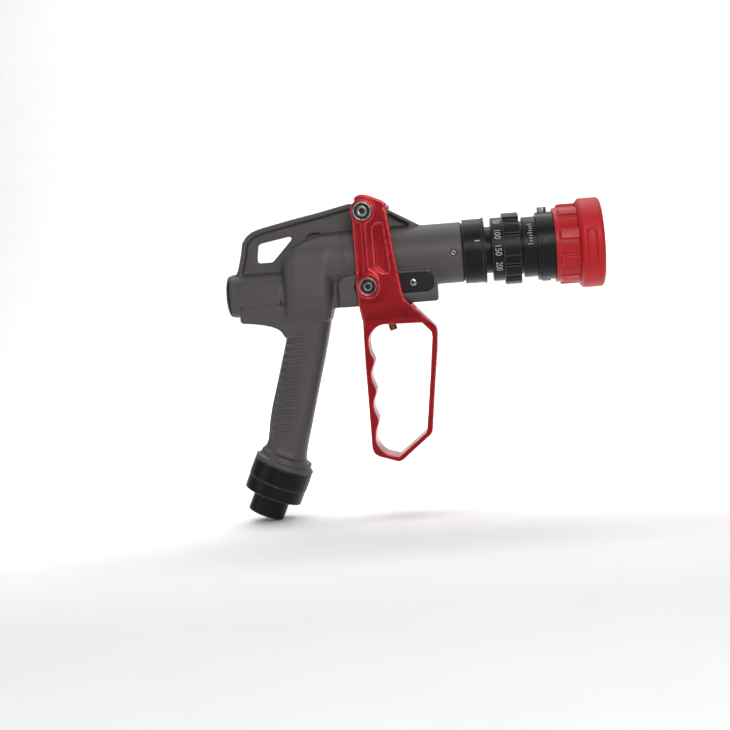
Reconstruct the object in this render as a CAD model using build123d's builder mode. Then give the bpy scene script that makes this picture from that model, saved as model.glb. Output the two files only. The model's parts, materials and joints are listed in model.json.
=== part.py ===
from build123d import *
from math import cos, radians, sin, sqrt
import os

# Fire hose nozzle: a pistol-grip body with a bale lever, a poppet shut-off valve, a flow
# selector ring and a twist pattern sleeve. Millimetres, +Z up, barrel towards +X, the left
# side at -Y. The origin is the centre of the inlet mouth, at the foot of the grip.
# Stations run along the barrel axis from the datum below, heights run up from that axis.

# ---- driving dimensions ---------------------------------------------------------------
DATUM_X = 216.0            # datum station of the barrel, forward of the inlet mouth
DATUM_Z = 233.5            # barrel axis above the inlet mouth
VALVE_HEIGHT = -25.5       # valve axis, measured from the barrel axis
INLET_TILT = 24.7          # inlet axis leans forward from the vertical, degrees

BARREL_R = 28.5
BARREL_FRONT = -10.5
CAST_BORE_R = 14.5         # waterway of the barrel
GRIP_BORE_R = 10.5         # waterway of the grip
GRIP_BEND_R = 10.9         # its bends are opened a little wider
CHAMBER_BORE_R = 16.0      # room for the poppet and its spring
CHAMBER_REAR = -231.0
SEAT_FRONT = -150.0
ROD_R = 4.0
RUNNING = 0.05             # radial clearance of turning and sliding fits

CHEEK_OUTER = 35.0         # lever cheeks, distance from the middle plane
CHEEK_INNER = 30.0
LOOP_HALF = 18.0           # half width of the finger loop
BOSS_HALF = 29.2           # half width of the boss under the barrel
PIVOT = (-100.3, 44.0)     # lever pivot: station, height
DRIVE = (-100.2, -25.5)    # drive pin: station, height
AXLE_R = 6.0
DRIVE_PIN_R = 4.0
ROLLER_R = 5.5

STEM_R = 22.0              # head stem under the flow ring
STEM_BORE_R = 15.0
CORE_R = 26.0              # outer barrel under the collar and the sleeve
LUG_COUNT_FLOW = 10
LUG_COUNT_SLEEVE = 9
BUMPER_R = 42.2
BUMPER_FRONT = 120.5
NEAR_SIDE = 180.0          # direction of the left side in a station plane, degrees

MOUTH_THREAD_R = 13.2      # G 3/4 internal thread of the inlet
STUB_R = 17.3
COLLAR_R = 28.3
BALL_COUNT = 24
BALL_R = 2.2
BALL_TRACK_R = 24.0

os.makedirs("parts", exist_ok=True)

# ---- work planes, axes and helpers ----------------------------------------------------
UP = Vector(sin(radians(INLET_TILT)), 0, cos(radians(INLET_TILT)))
FORWARD = Vector(cos(radians(INLET_TILT)), 0, -sin(radians(INLET_TILT)))
SIDE = Plane(origin=(DATUM_X, 0, DATUM_Z), x_dir=(1, 0, 0), z_dir=(0, -1, 0))
INLET_SIDE = Plane(origin=(0, 0, 0), x_dir=FORWARD, z_dir=(0, -1, 0))
INLET_AXIS = Axis((0, 0, 0), UP)


def along(height=0.0):
    """axis parallel to the barrel, at a height above the barrel axis"""
    return Axis((DATUM_X, 0, DATUM_Z + height), (1, 0, 0))


def station(x, height=0.0):
    """plane square to the barrel; its angles run from the right side up over the top"""
    return Plane(origin=(DATUM_X + x, 0, DATUM_Z + height), x_dir=(0, 1, 0), z_dir=(1, 0, 0))


def level(height):
    """horizontal plane at a height above the barrel axis, seen from above"""
    return Plane(origin=(DATUM_X, 0, DATUM_Z + height), x_dir=(1, 0, 0), z_dir=(0, 0, 1))


def inlet_station(s):
    """plane square to the inlet axis, s above the mouth"""
    return Plane(origin=UP * s, x_dir=FORWARD, z_dir=UP)


def side_at(y):
    """side plane shifted to a distance y from the middle plane"""
    return Plane(origin=(DATUM_X, y, DATUM_Z), x_dir=(1, 0, 0), z_dir=(0, -1, 0))


def turn(points, height=0.0, mode=Mode.ADD):
    """body of revolution about the barrel or valve axis from (station, radius) points"""
    with BuildSketch(SIDE) as section:
        with BuildLine():
            Polyline(*[(x, height + r) for x, r in points], close=True)
        make_face()
    revolve(section.sketch, axis=along(height), mode=mode)


def ring(x0, x1, inner, outer, height=0.0, mode=Mode.ADD):
    """plain ring or, with an inner radius of 0, a disc"""
    turn([(x0, inner), (x1, inner), (x1, outer), (x0, outer)], height, mode)


def inlet_turn(points, mode=Mode.ADD):
    """body of revolution about the inlet axis from (radius, station) points"""
    with BuildSketch(INLET_SIDE) as section:
        with BuildLine():
            Polyline(*points, close=True)
        make_face()
    revolve(section.sketch, axis=INLET_AXIS, mode=mode)


def inlet_ring(s0, s1, inner, outer, mode=Mode.ADD):
    """plain ring about the inlet axis"""
    inlet_turn([(inner, s0), (outer, s0), (outer, s1), (inner, s1)], mode)


def o_ring(x, pitch_r, wire_r, height=0.0, mode=Mode.ADD):
    """torus about the barrel or valve axis"""
    with BuildSketch(SIDE) as section:
        with Locations((x, height + pitch_r)):
            Circle(wire_r)
    revolve(section.sketch, axis=along(height), mode=mode)


def inlet_o_ring(s, pitch_r, wire_r, mode=Mode.ADD):
    """torus about the inlet axis"""
    with BuildSketch(INLET_SIDE) as section:
        with Locations((pitch_r, s)):
            Circle(wire_r)
    revolve(section.sketch, axis=INLET_AXIS, mode=mode)


def outline(points, half, mode=Mode.ADD):
    """side outline extruded evenly to both sides of the middle plane"""
    with BuildSketch(SIDE) as section:
        with BuildLine():
            Polyline(*points, close=True)
        make_face()
    extrude(section.sketch, amount=half, both=True, mode=mode)


def pin_across(centre, radius, y0, y1, mode=Mode.ADD):
    """cylinder along Y at a (station, height) centre, between two distances"""
    with BuildSketch(side_at(y0)) as section:
        with Locations(centre):
            Circle(radius)
    extrude(section.sketch, amount=y0 - y1, mode=mode)


def sectors(plane, inner, outer, first, width, count, depth, mode):
    """ring sectors spaced evenly around a plane's origin, pushed along its normal"""
    for k in range(count):
        with BuildSketch(plane) as section:
            with BuildLine():
                start = first + k * 360 / count - width / 2
                rim = CenterArc((0, 0), outer, start, width)
                root = CenterArc((0, 0), inner, start, width)
                Line(rim @ 0, root @ 0)
                Line(rim @ 1, root @ 1)
            make_face()
        extrude(section.sketch, amount=depth, mode=mode)


def save(builder, name):
    """label a finished piece and write it as its own STEP file"""
    builder.part.label = name
    export_step(builder.part, f"parts/{name}.step")


# ---- housing: outer forms -------------------------------------------------------------
RIB_HALF = 9.0
RIB_BAND = 5.0
WEB_HALF = 5.0
POCKET_HALF = 2.5
RIB_OUTLINE = [
    (-224.5, -14), (-225, -4.5), (-223.5, -2), (-221, 7), (-219, 15), (-217.6, 23.5),
    (-213.5, 29.5), (-207.7, 33.7), (-200.2, 36.2), (-189.1, 38.6), (-166.4, 43.2),
    (-145, 47), (-114, 53.6), (-109.5, 52.8), (-105, 55.6), (-100.3, 56.7), (-95.5, 55.7),
    (-91.2, 53), (-76.5, 44.5), (-49, 28.3), (-52, -4), (-130, -4), (-170, -14),
]
FINGER_HOLE = [
    (-205.5, 6), (-203.5, 20.5), (-201.5, 22.2), (-172.5, 27.2), (-170.3, 24.8),
    (-190, 4.3), (-191.5, 4), (-203.8, 4),
]
REAR_POCKET = [(-168, 14), (-153, 28), (-112, 28), (-112, 20)]
FRONT_POCKET = [(-79, 42), (-60, 30.5), (-60, 24), (-79, 24)]

# chamber sections: height, rear station, front station, half width; above the barrel axis
# they follow an ellipsoid that carries the barrel's own radius round to the rear
DOME_MIDDLE = -115.0
DOME_LENGTH = 65.0
CHAMBER_SECTIONS = [
    (-54, -186, -139, 20), (-44, -181, -136, 25.5), (-31, -180, -134, 29.3),
    (-16, -180, -133, 29.3), (-6, -180, -131, 28.8),
]
DOME_HEIGHTS = (0, 4, 8, 12, 15, 18, 20.5, 22.5, 24.5, 26, 27.2)
CORNER_SHARE = 0.42
BARREL_REAR = -122.0
ROOT_REAR = -136.0         # the barrel's root runs back into the chamber, a little slimmer
ROOT_R = 28.0

with BuildPart() as chamber_form:
    dome_sections = []
    for height in DOME_HEIGHTS:
        fullness = sqrt(1 - (height / BARREL_R) ** 2)
        rear = DOME_MIDDLE - DOME_LENGTH * fullness
        dome_sections.append((height, rear, -120 - 8 * fullness, BARREL_R * fullness))
    for height, rear, front, half in CHAMBER_SECTIONS + dome_sections:
        with BuildSketch(level(height)) as section:
            with Locations(((rear + front) / 2, 0)):
                RectangleRounded(front - rear, 2 * half, CORNER_SHARE * half)
    loft(ruled=True)

# grip sections: rear point, front point, half width
GRIP_SECTIONS = [
    ((-183, -52), (-138.5, -50), 20), ((-182.8, -68), (-142.6, -68), 19),
    ((-187.5, -85), (-148.3, -90), 17.5), ((-193.7, -106), (-155, -114), 17),
    ((-200.4, -128), (-161.6, -138), 17), ((-205.2, -148), (-168.7, -163), 17),
    ((-208.4, -165.5), (-173.4, -181.6), 17.5),
]
GRIP_CORNER_SHARE = 0.75

with BuildPart() as grip_form:
    for (rear_x, rear_z), (front_x, front_z), half in GRIP_SECTIONS:
        across = Vector(front_x - rear_x, 0, front_z - rear_z)
        middle = Vector(DATUM_X + (rear_x + front_x) / 2, 0, DATUM_Z + (rear_z + front_z) / 2)
        square = Plane(origin=middle, x_dir=across, z_dir=Vector(-across.Z, 0, across.X))
        with BuildSketch(square) as section:
            RectangleRounded(across.length, 2 * half, GRIP_CORNER_SHARE * half)
    loft()

with BuildPart() as neck_form:
    with BuildSketch(inlet_station(66)):
        with Locations((-2.4, 0)):
            RectangleRounded(39, 35, 13.2)
    with BuildSketch(inlet_station(62)):
        with Locations((-2.2, 0)):
            RectangleRounded(40.5, 37, 15)
    with BuildSketch(inlet_station(58)):
        with Locations((-1.5, 0)):
            RectangleRounded(46, 43, 19)
    loft()

with BuildPart() as rib_form:
    outline(RIB_OUTLINE, RIB_HALF)
    for side in (-1, 1):
        shift = side * (WEB_HALF + RIB_HALF) / 2
        web_recess = Plane(origin=(DATUM_X, shift, DATUM_Z), x_dir=(1, 0, 0), z_dir=(0, -1, 0))
        with BuildSketch(web_recess) as pocket:
            with BuildLine():
                Polyline(*RIB_OUTLINE, close=True)
            make_face()
            offset(amount=-RIB_BAND, kind=Kind.INTERSECTION, mode=Mode.REPLACE)
        extrude(pocket.sketch, amount=(RIB_HALF - WEB_HALF) / 2, both=True, mode=Mode.SUBTRACT)
        deeper = Plane(origin=(DATUM_X, side * POCKET_HALF, DATUM_Z), x_dir=(1, 0, 0),
                       z_dir=(0, -1, 0))
        for pocket_points in (REAR_POCKET, FRONT_POCKET):
            with BuildSketch(deeper) as hollow:
                with BuildLine():
                    Polyline(*pocket_points, close=True)
                make_face()
            extrude(hollow.sketch, amount=-side * RIB_HALF, mode=Mode.SUBTRACT)
    outline(FINGER_HOLE, RIB_HALF, Mode.SUBTRACT)

BOSS_OUTLINE = [
    (-128, -43.5), (-128, -20), (-123.5, -15.5), (-113.5, -13.7), (-43, -13.7), (-39.5, -20),
    (-36.5, -29), (-36.5, -43.5),
]
BOSS_UNDERCUT = 5.0
BOSS_UNDERCUT_IN = 2.4
LINK_OUTLINE = [(-145, -43.5), (-145, -10), (-120, -10), (-120, -43.5)]
LINK_HALF = 20.0
TAIL_OUTLINE = [
    (-223, -38), (-223, -50), (-221.5, -51.6), (-210, -53), (-200, -55), (-195, -56.5),
    (-190, -58.6), (-186.8, -60.7), (-184.5, -63.5), (-183, -67.5), (-165, -67), (-165, -38),
]
TAIL_HALF = 19.0
REAR_R = 20.5
PAD_HALF = 20.9
HUB_R = 10.0
HUB_HALF = 29.5
COUNTERBORE_R = 24.0
SPIGOT_REAR = -30.0
CAVITY_HALF = 14.0
GLAND_REAR = -137.0
GLAND_FRONT = -128.0
GLAND_R = 7.5

with BuildPart() as boss_form:
    outline(BOSS_OUTLINE, BOSS_HALF)
    with BuildSketch(station(-130)) as undercut:
        for side in (-1, 1):
            with BuildLine():
                Polyline((side * (BOSS_HALF + 1), -43.5 + BOSS_UNDERCUT),
                         (side * BOSS_HALF, -43.5 + BOSS_UNDERCUT),
                         (side * (BOSS_HALF - BOSS_UNDERCUT_IN), -43.5),
                         (side * (BOSS_HALF - BOSS_UNDERCUT_IN), -46),
                         (side * (BOSS_HALF + 1), -46), close=True)
            make_face()
    extrude(undercut.sketch, amount=100, mode=Mode.SUBTRACT)

with BuildPart() as casting:
    ring(BARREL_REAR, BARREL_FRONT, 0, BARREL_R)
    ring(ROOT_REAR, BARREL_REAR + 1, 0, ROOT_R)
    add(chamber_form.part)
    add(grip_form.part)
    add(neck_form.part)
    add(rib_form.part)
    ring(CHAMBER_REAR, -160, 0, REAR_R, VALVE_HEIGHT)
    outline(TAIL_OUTLINE, TAIL_HALF)
    add(boss_form.part)
    outline(LINK_OUTLINE, LINK_HALF)
    pin_across(PIVOT, HUB_R, -HUB_HALF, HUB_HALF)
    with BuildSketch(SIDE) as pad:
        with Locations((-202.5, -26.8)):
            RectangleRounded(38, 19.4, 4)
    extrude(pad.sketch, amount=PAD_HALF, both=True)
    inlet_turn([(0, 48.5), (COLLAR_R, 48.5), (COLLAR_R, 53), (25, 53.6), (25, 59), (0, 59)])
    inlet_ring(34.2, 49, 0, 19)

    # waterways, from the inlet up the grip, past the seat and out along the barrel
    inlet_ring(30, 75, 0, GRIP_BORE_R, Mode.SUBTRACT)
    bend_low = inlet_station(75).origin
    bend_high = Vector(DATUM_X - 163.5, 0, DATUM_Z - 75)
    chamber_floor = Vector(DATUM_X - 166, 0, DATUM_Z - 30)
    for start, end in ((bend_low, bend_high), (bend_high, chamber_floor)):
        run = end - start
        with BuildSketch(Plane(origin=start, z_dir=run)) as bore:
            Circle(GRIP_BORE_R)
        extrude(bore.sketch, amount=run.length, mode=Mode.SUBTRACT)
    for bend in (bend_low, bend_high):
        with Locations(bend):
            Sphere(GRIP_BEND_R, mode=Mode.SUBTRACT)
    ring(CHAMBER_REAR, SEAT_FRONT, 0, CHAMBER_BORE_R, VALVE_HEIGHT, Mode.SUBTRACT)
    ring(SEAT_FRONT, GLAND_REAR, 0, 10.5, VALVE_HEIGHT, Mode.SUBTRACT)
    with BuildSketch(level(VALVE_HEIGHT)) as riser:
        with Locations((-142.5, 0)):
            Circle(8.5)
    extrude(riser.sketch, amount=-VALVE_HEIGHT, mode=Mode.SUBTRACT)
    turn([(-151, 0), (-149, 8), (-143, CAST_BORE_R), (BARREL_FRONT, CAST_BORE_R),
          (BARREL_FRONT, 0)], mode=Mode.SUBTRACT)
    ring(SPIGOT_REAR, BARREL_FRONT, 0, COUNTERBORE_R, mode=Mode.SUBTRACT)

    # gland bore, crosshead cavity, drive-pin slot and slot-cover recesses
    ring(GLAND_REAR, GLAND_FRONT, 0, GLAND_R, VALVE_HEIGHT, Mode.SUBTRACT)
    with BuildSketch(SIDE) as cavity:
        with Locations((-86, -26.3)):
            Rectangle(84, 16.6)
    extrude(cavity.sketch, amount=CAVITY_HALF, both=True, mode=Mode.SUBTRACT)
    with BuildSketch(SIDE) as slot:
        with Locations((-104.4, -25.2)):
            SlotOverall(16.8, 9.6)
        with Locations((-78, -24.7)):
            Rectangle(20, 11)
    extrude(slot.sketch, amount=BOSS_HALF + 1, both=True, mode=Mode.SUBTRACT)
    pin_across(PIVOT, AXLE_R + 2, -HUB_HALF - 1, HUB_HALF + 1, Mode.SUBTRACT)
    for side in (-1, 1):
        with BuildSketch(side_at(side * BOSS_HALF)) as recess:
            with Locations((-64, -24.7)):
                RectangleRounded(49.4, 17.8, 7.6)
        extrude(recess.sketch, amount=side * 2.8, mode=Mode.SUBTRACT)
        with BuildSketch(side_at(side * BOSS_HALF)) as tap:
            with Locations((-58.6, -24.9)):
                Circle(2)
        extrude(tap.sketch, amount=side * 12, mode=Mode.SUBTRACT)
    with BuildSketch(side_at(-40)) as tap:
        with Locations((-19.2, -0.3)):
            Circle(2.5)
    extrude(tap.sketch, amount=-20, mode=Mode.SUBTRACT)
print("casting", len(casting.part.solids()), round(casting.part.volume))

# the one casting is kept as three nodes that meet on flat cuts, so that each is a simple shape
GRIP_CUT = -62.0
BARREL_CUT = -122.0
above_grip = Plane(origin=(0, 0, DATUM_Z + GRIP_CUT), z_dir=(0, 0, 1))
before_chamber = Plane(origin=(DATUM_X + BARREL_CUT, 0, 0), x_dir=(0, 1, 0), z_dir=(1, 0, 0))

with BuildPart() as housing_grip:
    add(casting.part)
    split(bisect_by=above_grip, keep=Keep.BOTTOM)
save(housing_grip, "housing_grip")

with BuildPart() as housing_chamber:
    add(casting.part)
    split(bisect_by=above_grip, keep=Keep.TOP)
    split(bisect_by=before_chamber, keep=Keep.BOTTOM)
save(housing_chamber, "housing_chamber")

with BuildPart() as housing_barrel:
    add(casting.part)
    split(bisect_by=before_chamber, keep=Keep.TOP)
save(housing_barrel, "housing_barrel")
for piece in (housing_grip, housing_chamber, housing_barrel):
    print(piece.part.label, len(piece.part.solids()), round(piece.part.volume))

# ---- valve, gland and rear cap --------------------------------------------------------
CAP_FACE = -234.5
CAP_R = 19.5
CAP_INNER = -216.0
POPPET_FRONT = -155.0
POPPET_REAR = -162.0
SEAT_BORE_R = 9.5
CROSSHEAD_REAR = -111.5
CROSSHEAD_FRONT = -91.5
ROD_FRONT = -106.2
SPRING_SEAT = -226.0
SPRING_R = 9.5
SPRING_WIRE_R = 1.1
SPRING_TURNS = 9

with BuildPart() as rear_cap:
    turn([(CAP_FACE, 0), (CAP_FACE, CAP_R - 3), (-233.9, CAP_R - 1.2), (-232.8, CAP_R),
          (CHAMBER_REAR, CAP_R), (CHAMBER_REAR, CHAMBER_BORE_R), (-229.6, CHAMBER_BORE_R),
          (-229.6, 13.8), (-226.4, 13.8), (-226.4, CHAMBER_BORE_R), (CAP_INNER, CHAMBER_BORE_R),
          (CAP_INNER, 12.5), (SPRING_SEAT, 12.5), (SPRING_SEAT, 0)], VALVE_HEIGHT)
    with BuildSketch(station(CAP_FACE, VALVE_HEIGHT)) as key:
        RegularPolygon(5, 6)
    extrude(key.sketch, amount=5, mode=Mode.SUBTRACT)
save(rear_cap, "rear_cap")

with BuildPart() as rear_cap_seal:
    o_ring(-228, 14.9, 1.1, VALVE_HEIGHT)
save(rear_cap_seal, "rear_cap_seal")

with BuildPart() as valve_seat:
    turn([(POPPET_FRONT, SEAT_BORE_R), (POPPET_FRONT, 14), (-153.8, CHAMBER_BORE_R),
          (-153.2, CHAMBER_BORE_R), (-153.2, 14.4), (-151.4, 14.4), (-151.4, CHAMBER_BORE_R),
          (SEAT_FRONT, CHAMBER_BORE_R), (SEAT_FRONT, SEAT_BORE_R)], VALVE_HEIGHT)
save(valve_seat, "valve_seat")

with BuildPart() as valve_seat_seal:
    o_ring(-152.3, 15.2, 0.8, VALVE_HEIGHT)
save(valve_seat_seal, "valve_seat_seal")

with BuildPart() as poppet:
    turn([(POPPET_FRONT + 0.3, ROD_R), (POPPET_FRONT + 0.3, 8.8), (-155.8, 9.2), (-155.8, 13),
          (-158, 13.6), (POPPET_REAR, 11.5), (POPPET_REAR, 6.5), (-167, 6.5), (-167, ROD_R)],
         VALVE_HEIGHT)
save(poppet, "poppet")

with BuildPart() as poppet_seal:
    ring(-155.8, POPPET_FRONT, 9.8, 12.8, VALVE_HEIGHT)
save(poppet_seal, "poppet_seal")

with BuildPart() as poppet_nut:
    with BuildSketch(station(-171, VALVE_HEIGHT)) as hexagon:
        RegularPolygon(7, 6)
        Circle(ROD_R, mode=Mode.SUBTRACT)
    extrude(hexagon.sketch, amount=4)
save(poppet_nut, "poppet_nut")

with BuildPart() as push_rod:
    ring(-172.5, ROD_FRONT, 0, ROD_R, VALVE_HEIGHT)
save(push_rod, "push_rod")

with BuildPart() as crosshead:
    with BuildSketch(SIDE) as block:
        with Locations(((CROSSHEAD_REAR + CROSSHEAD_FRONT) / 2, -26.2)):
            Rectangle(CROSSHEAD_FRONT - CROSSHEAD_REAR, 15.4)
    extrude(block.sketch, amount=CAVITY_HALF - 0.5, both=True)
    fillet(crosshead.edges().filter_by(Axis.Y), 1.2)
    with BuildSketch(SIDE) as fork:
        with Locations((DRIVE[0], DRIVE[1])):
            Circle(ROLLER_R + 0.12)
        with Locations((DRIVE[0], DRIVE[1] + 10)):
            Rectangle(2 * (ROLLER_R + 0.12), 20)
    extrude(fork.sketch, amount=CAVITY_HALF, both=True, mode=Mode.SUBTRACT)
    ring(CROSSHEAD_REAR, ROD_FRONT, 0, ROD_R, VALVE_HEIGHT, Mode.SUBTRACT)
save(crosshead, "crosshead")

with BuildPart() as return_spring:
    spring_length = POPPET_REAR - SPRING_SEAT - 2 * SPRING_WIRE_R - 0.2
    spring_start = (DATUM_X + SPRING_SEAT + SPRING_WIRE_R, 0, DATUM_Z + VALVE_HEIGHT)
    with BuildLine() as coil:
        Helix(spring_length / SPRING_TURNS, spring_length, SPRING_R, center=spring_start,
              direction=(1, 0, 0))
    with BuildSketch(Plane(origin=coil.line @ 0, z_dir=coil.line % 0)) as wire:
        Circle(SPRING_WIRE_R)
    sweep(wire.sketch, path=coil.line, is_frenet=True)
save(return_spring, "return_spring")

with BuildPart() as gland_bush:
    ring(GLAND_REAR, -134, ROD_R + RUNNING, GLAND_R, VALVE_HEIGHT)
save(gland_bush, "gland_bush")

with BuildPart() as gland_packing:
    for k in range(2):
        ring(-134 + 2 * k, -132.1 + 2 * k, ROD_R + RUNNING, GLAND_R, VALVE_HEIGHT)
save(gland_packing, "gland_packing")

with BuildPart() as gland_nut:
    ring(-130, GLAND_FRONT, ROD_R + RUNNING, GLAND_R, VALVE_HEIGHT)
save(gland_nut, "gland_nut")

# ---- slot covers, their screws and the barrel set screw -------------------------------
for side, name in ((-1, "slot_cover_left"), (1, "slot_cover_right")):
    with BuildPart() as slot_cover:
        with BuildSketch(side_at(side * (BOSS_HALF - 0.2))) as plate:
            with Locations((-64, -24.7)):
                RectangleRounded(49.2, 17.6, 7.5)
            with Locations((-58.6, -24.9)):
                Circle(2.2, mode=Mode.SUBTRACT)
        extrude(plate.sketch, amount=side * 2.6)
    save(slot_cover, name)

with BuildPart() as slot_cover_screws:
    for side in (-1, 1):
        face = side * (BOSS_HALF - 0.2)
        with BuildSketch(side_at(face)) as head:
            with Locations((-58.6, -24.9)):
                Circle(3.7)
        extrude(head.sketch, amount=-side * 2.0, taper=18)
        with BuildSketch(side_at(face)) as shank:
            with Locations((-58.6, -24.9)):
                Circle(1.95)
        extrude(shank.sketch, amount=side * 10)
        with BuildSketch(side_at(face + side * 2.0)) as socket:
            with Locations((-58.6, -24.9)):
                RegularPolygon(1.45, 6)
        extrude(socket.sketch, amount=side * 1.3, mode=Mode.SUBTRACT)
save(slot_cover_screws, "slot_cover_screws")

with BuildPart() as barrel_set_screw:
    with BuildSketch(side_at(-28.2)) as thread:
        with Locations((-19.2, -0.3)):
            Circle(2.45)
    extrude(thread.sketch, amount=-5.6)
    with BuildSketch(side_at(-28.2)) as socket:
        with Locations((-19.2, -0.3)):
            RegularPolygon(1.45, 6)
    extrude(socket.sketch, amount=-1.5, mode=Mode.SUBTRACT)
save(barrel_set_screw, "barrel_set_screw")

# ---- lever ----------------------------------------------------------------------------
LEVER_OUTLINE = [
    (-110.3, 44), (-109.4, 49.5), (-106.8, 53.2), (-103, 55.3), (-98.6, 55.4), (-94.3, 53.8),
    (-85.5, 50.3), (-80.2, 47), (-77.9, 43), (-77.3, 35.3), (-74.8, 14.9), (-73.4, 0.3),
    (-71.4, -14.3), (-69.5, -28.9), (-67.8, -38.6), (-58.8, -48.8), (-49.1, -58.7),
    (-42.3, -65.8), (-40.2, -68.6), (-39.7, -72.5), (-40.9, -88.6), (-44.4, -113.2),
    (-47.3, -134.9), (-50.6, -160.5), (-51.2, -165.6), (-53.2, -168.6), (-80.8, -190.3),
    (-84.3, -191.8), (-87.5, -191), (-103.3, -185.6), (-107.6, -182.2), (-109.2, -177.3),
    (-109.4, -98.4), (-108.7, -58), (-110.3, -38.6),
]
CHEEK_DROP = -42.0         # the cheeks start to draw in
WEB_TOP = -50.0            # floor between the cheeks
LOOP_TOP = -62.2
CHEEK_PROFILE = [
    (CHEEK_OUTER, 70), (CHEEK_OUTER, CHEEK_DROP), (33, -46.5), (21, -57.5), (LOOP_HALF, -62),
    (LOOP_HALF, -200), (-LOOP_HALF, -200), (-LOOP_HALF, -62), (-21, -57.5), (-33, -46.5),
    (-CHEEK_OUTER, CHEEK_DROP), (-CHEEK_OUTER, 70),
]
BETWEEN_CHEEKS = [
    (CHEEK_INNER, 70), (CHEEK_INNER, -41.5), (27.5, -46), (22, -49), (16, WEB_TOP),
    (-16, WEB_TOP), (-22, -49), (-27.5, -46), (-CHEEK_INNER, -41.5), (-CHEEK_INNER, 70),
]
FINGER_PITCH = 28.0
FINGER_TOP = -82.0
VALLEY_X = -104.5
PEAK_X = -100.8
BRIDGE_OUTLINE = [
    (-107.5, 56.3), (-105, 58.3), (-101, 59.9), (-96, 59), (-91, 57.2), (-82.4, 53.3),
    (-78.3, 50), (-77.9, 46.5), (-80.6, 46.3), (-81.6, 48.6), (-84.2, 50.6), (-92, 54.6),
    (-96.5, 57), (-100.8, 58), (-104.6, 57), (-106.2, 55),
]
BRIDGE_FOOT = [            # joins each cheek's top edge to the bridge
    (-106.9, 56), (-105, 57.9), (-101, 59.4), (-96, 58.6), (-90, 56), (-84, 53.5), (-84, 47),
    (-98.6, 53), (-106.9, 51),
]
SADDLE_OUTLINE = [
    (-107.5, 56.3), (-105, 58.3), (-101, 59.9), (-96, 59), (-92, 57.6), (-92.5, 55.3),
    (-96.5, 57.2), (-100.8, 58), (-104.6, 57.2), (-106.8, 55.9),
]
LEVER_RIB = [              # raised rib between the two pivots
    (-102.6, 40), (-98.2, 40), (-98.2, -9.4), (-90.8, -14.8), (-89, -19.2), (-89, -26),
    (-110, -26), (-110, -17.5), (-102.6, -10.9),
]
LEVER_RIB_FACE = 36.0
REAR_RELIEF = [(-109, 33.4), (-105.2, 33.4), (-103.8, 31.8), (-103.8, -9.6), (-109, -14)]
FRONT_RELIEF = [
    (-92.3, 27), (-91, 30.6), (-86.8, 32.3), (-83.4, 32.3), (-82.4, 30.4), (-78.6, -14.2),
    (-86, -14.2), (-92.3, -8),
]
RELIEF_DEPTH = 1.3
LEVER_BOSS_R = 11.3
LEVER_BOSS_FACE = 36.4
FRONT_VIEW = station(-160)

STOP_TOP = Vector(DATUM_X - 86.0, 0, DATUM_Z - 48.6)
STOP_TILT = 14.0
STOP_RUN = Vector(sin(radians(STOP_TILT)), 0, -cos(radians(STOP_TILT)))
STOP_R = 3.6
STOP_LENGTH = 20.6

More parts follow.
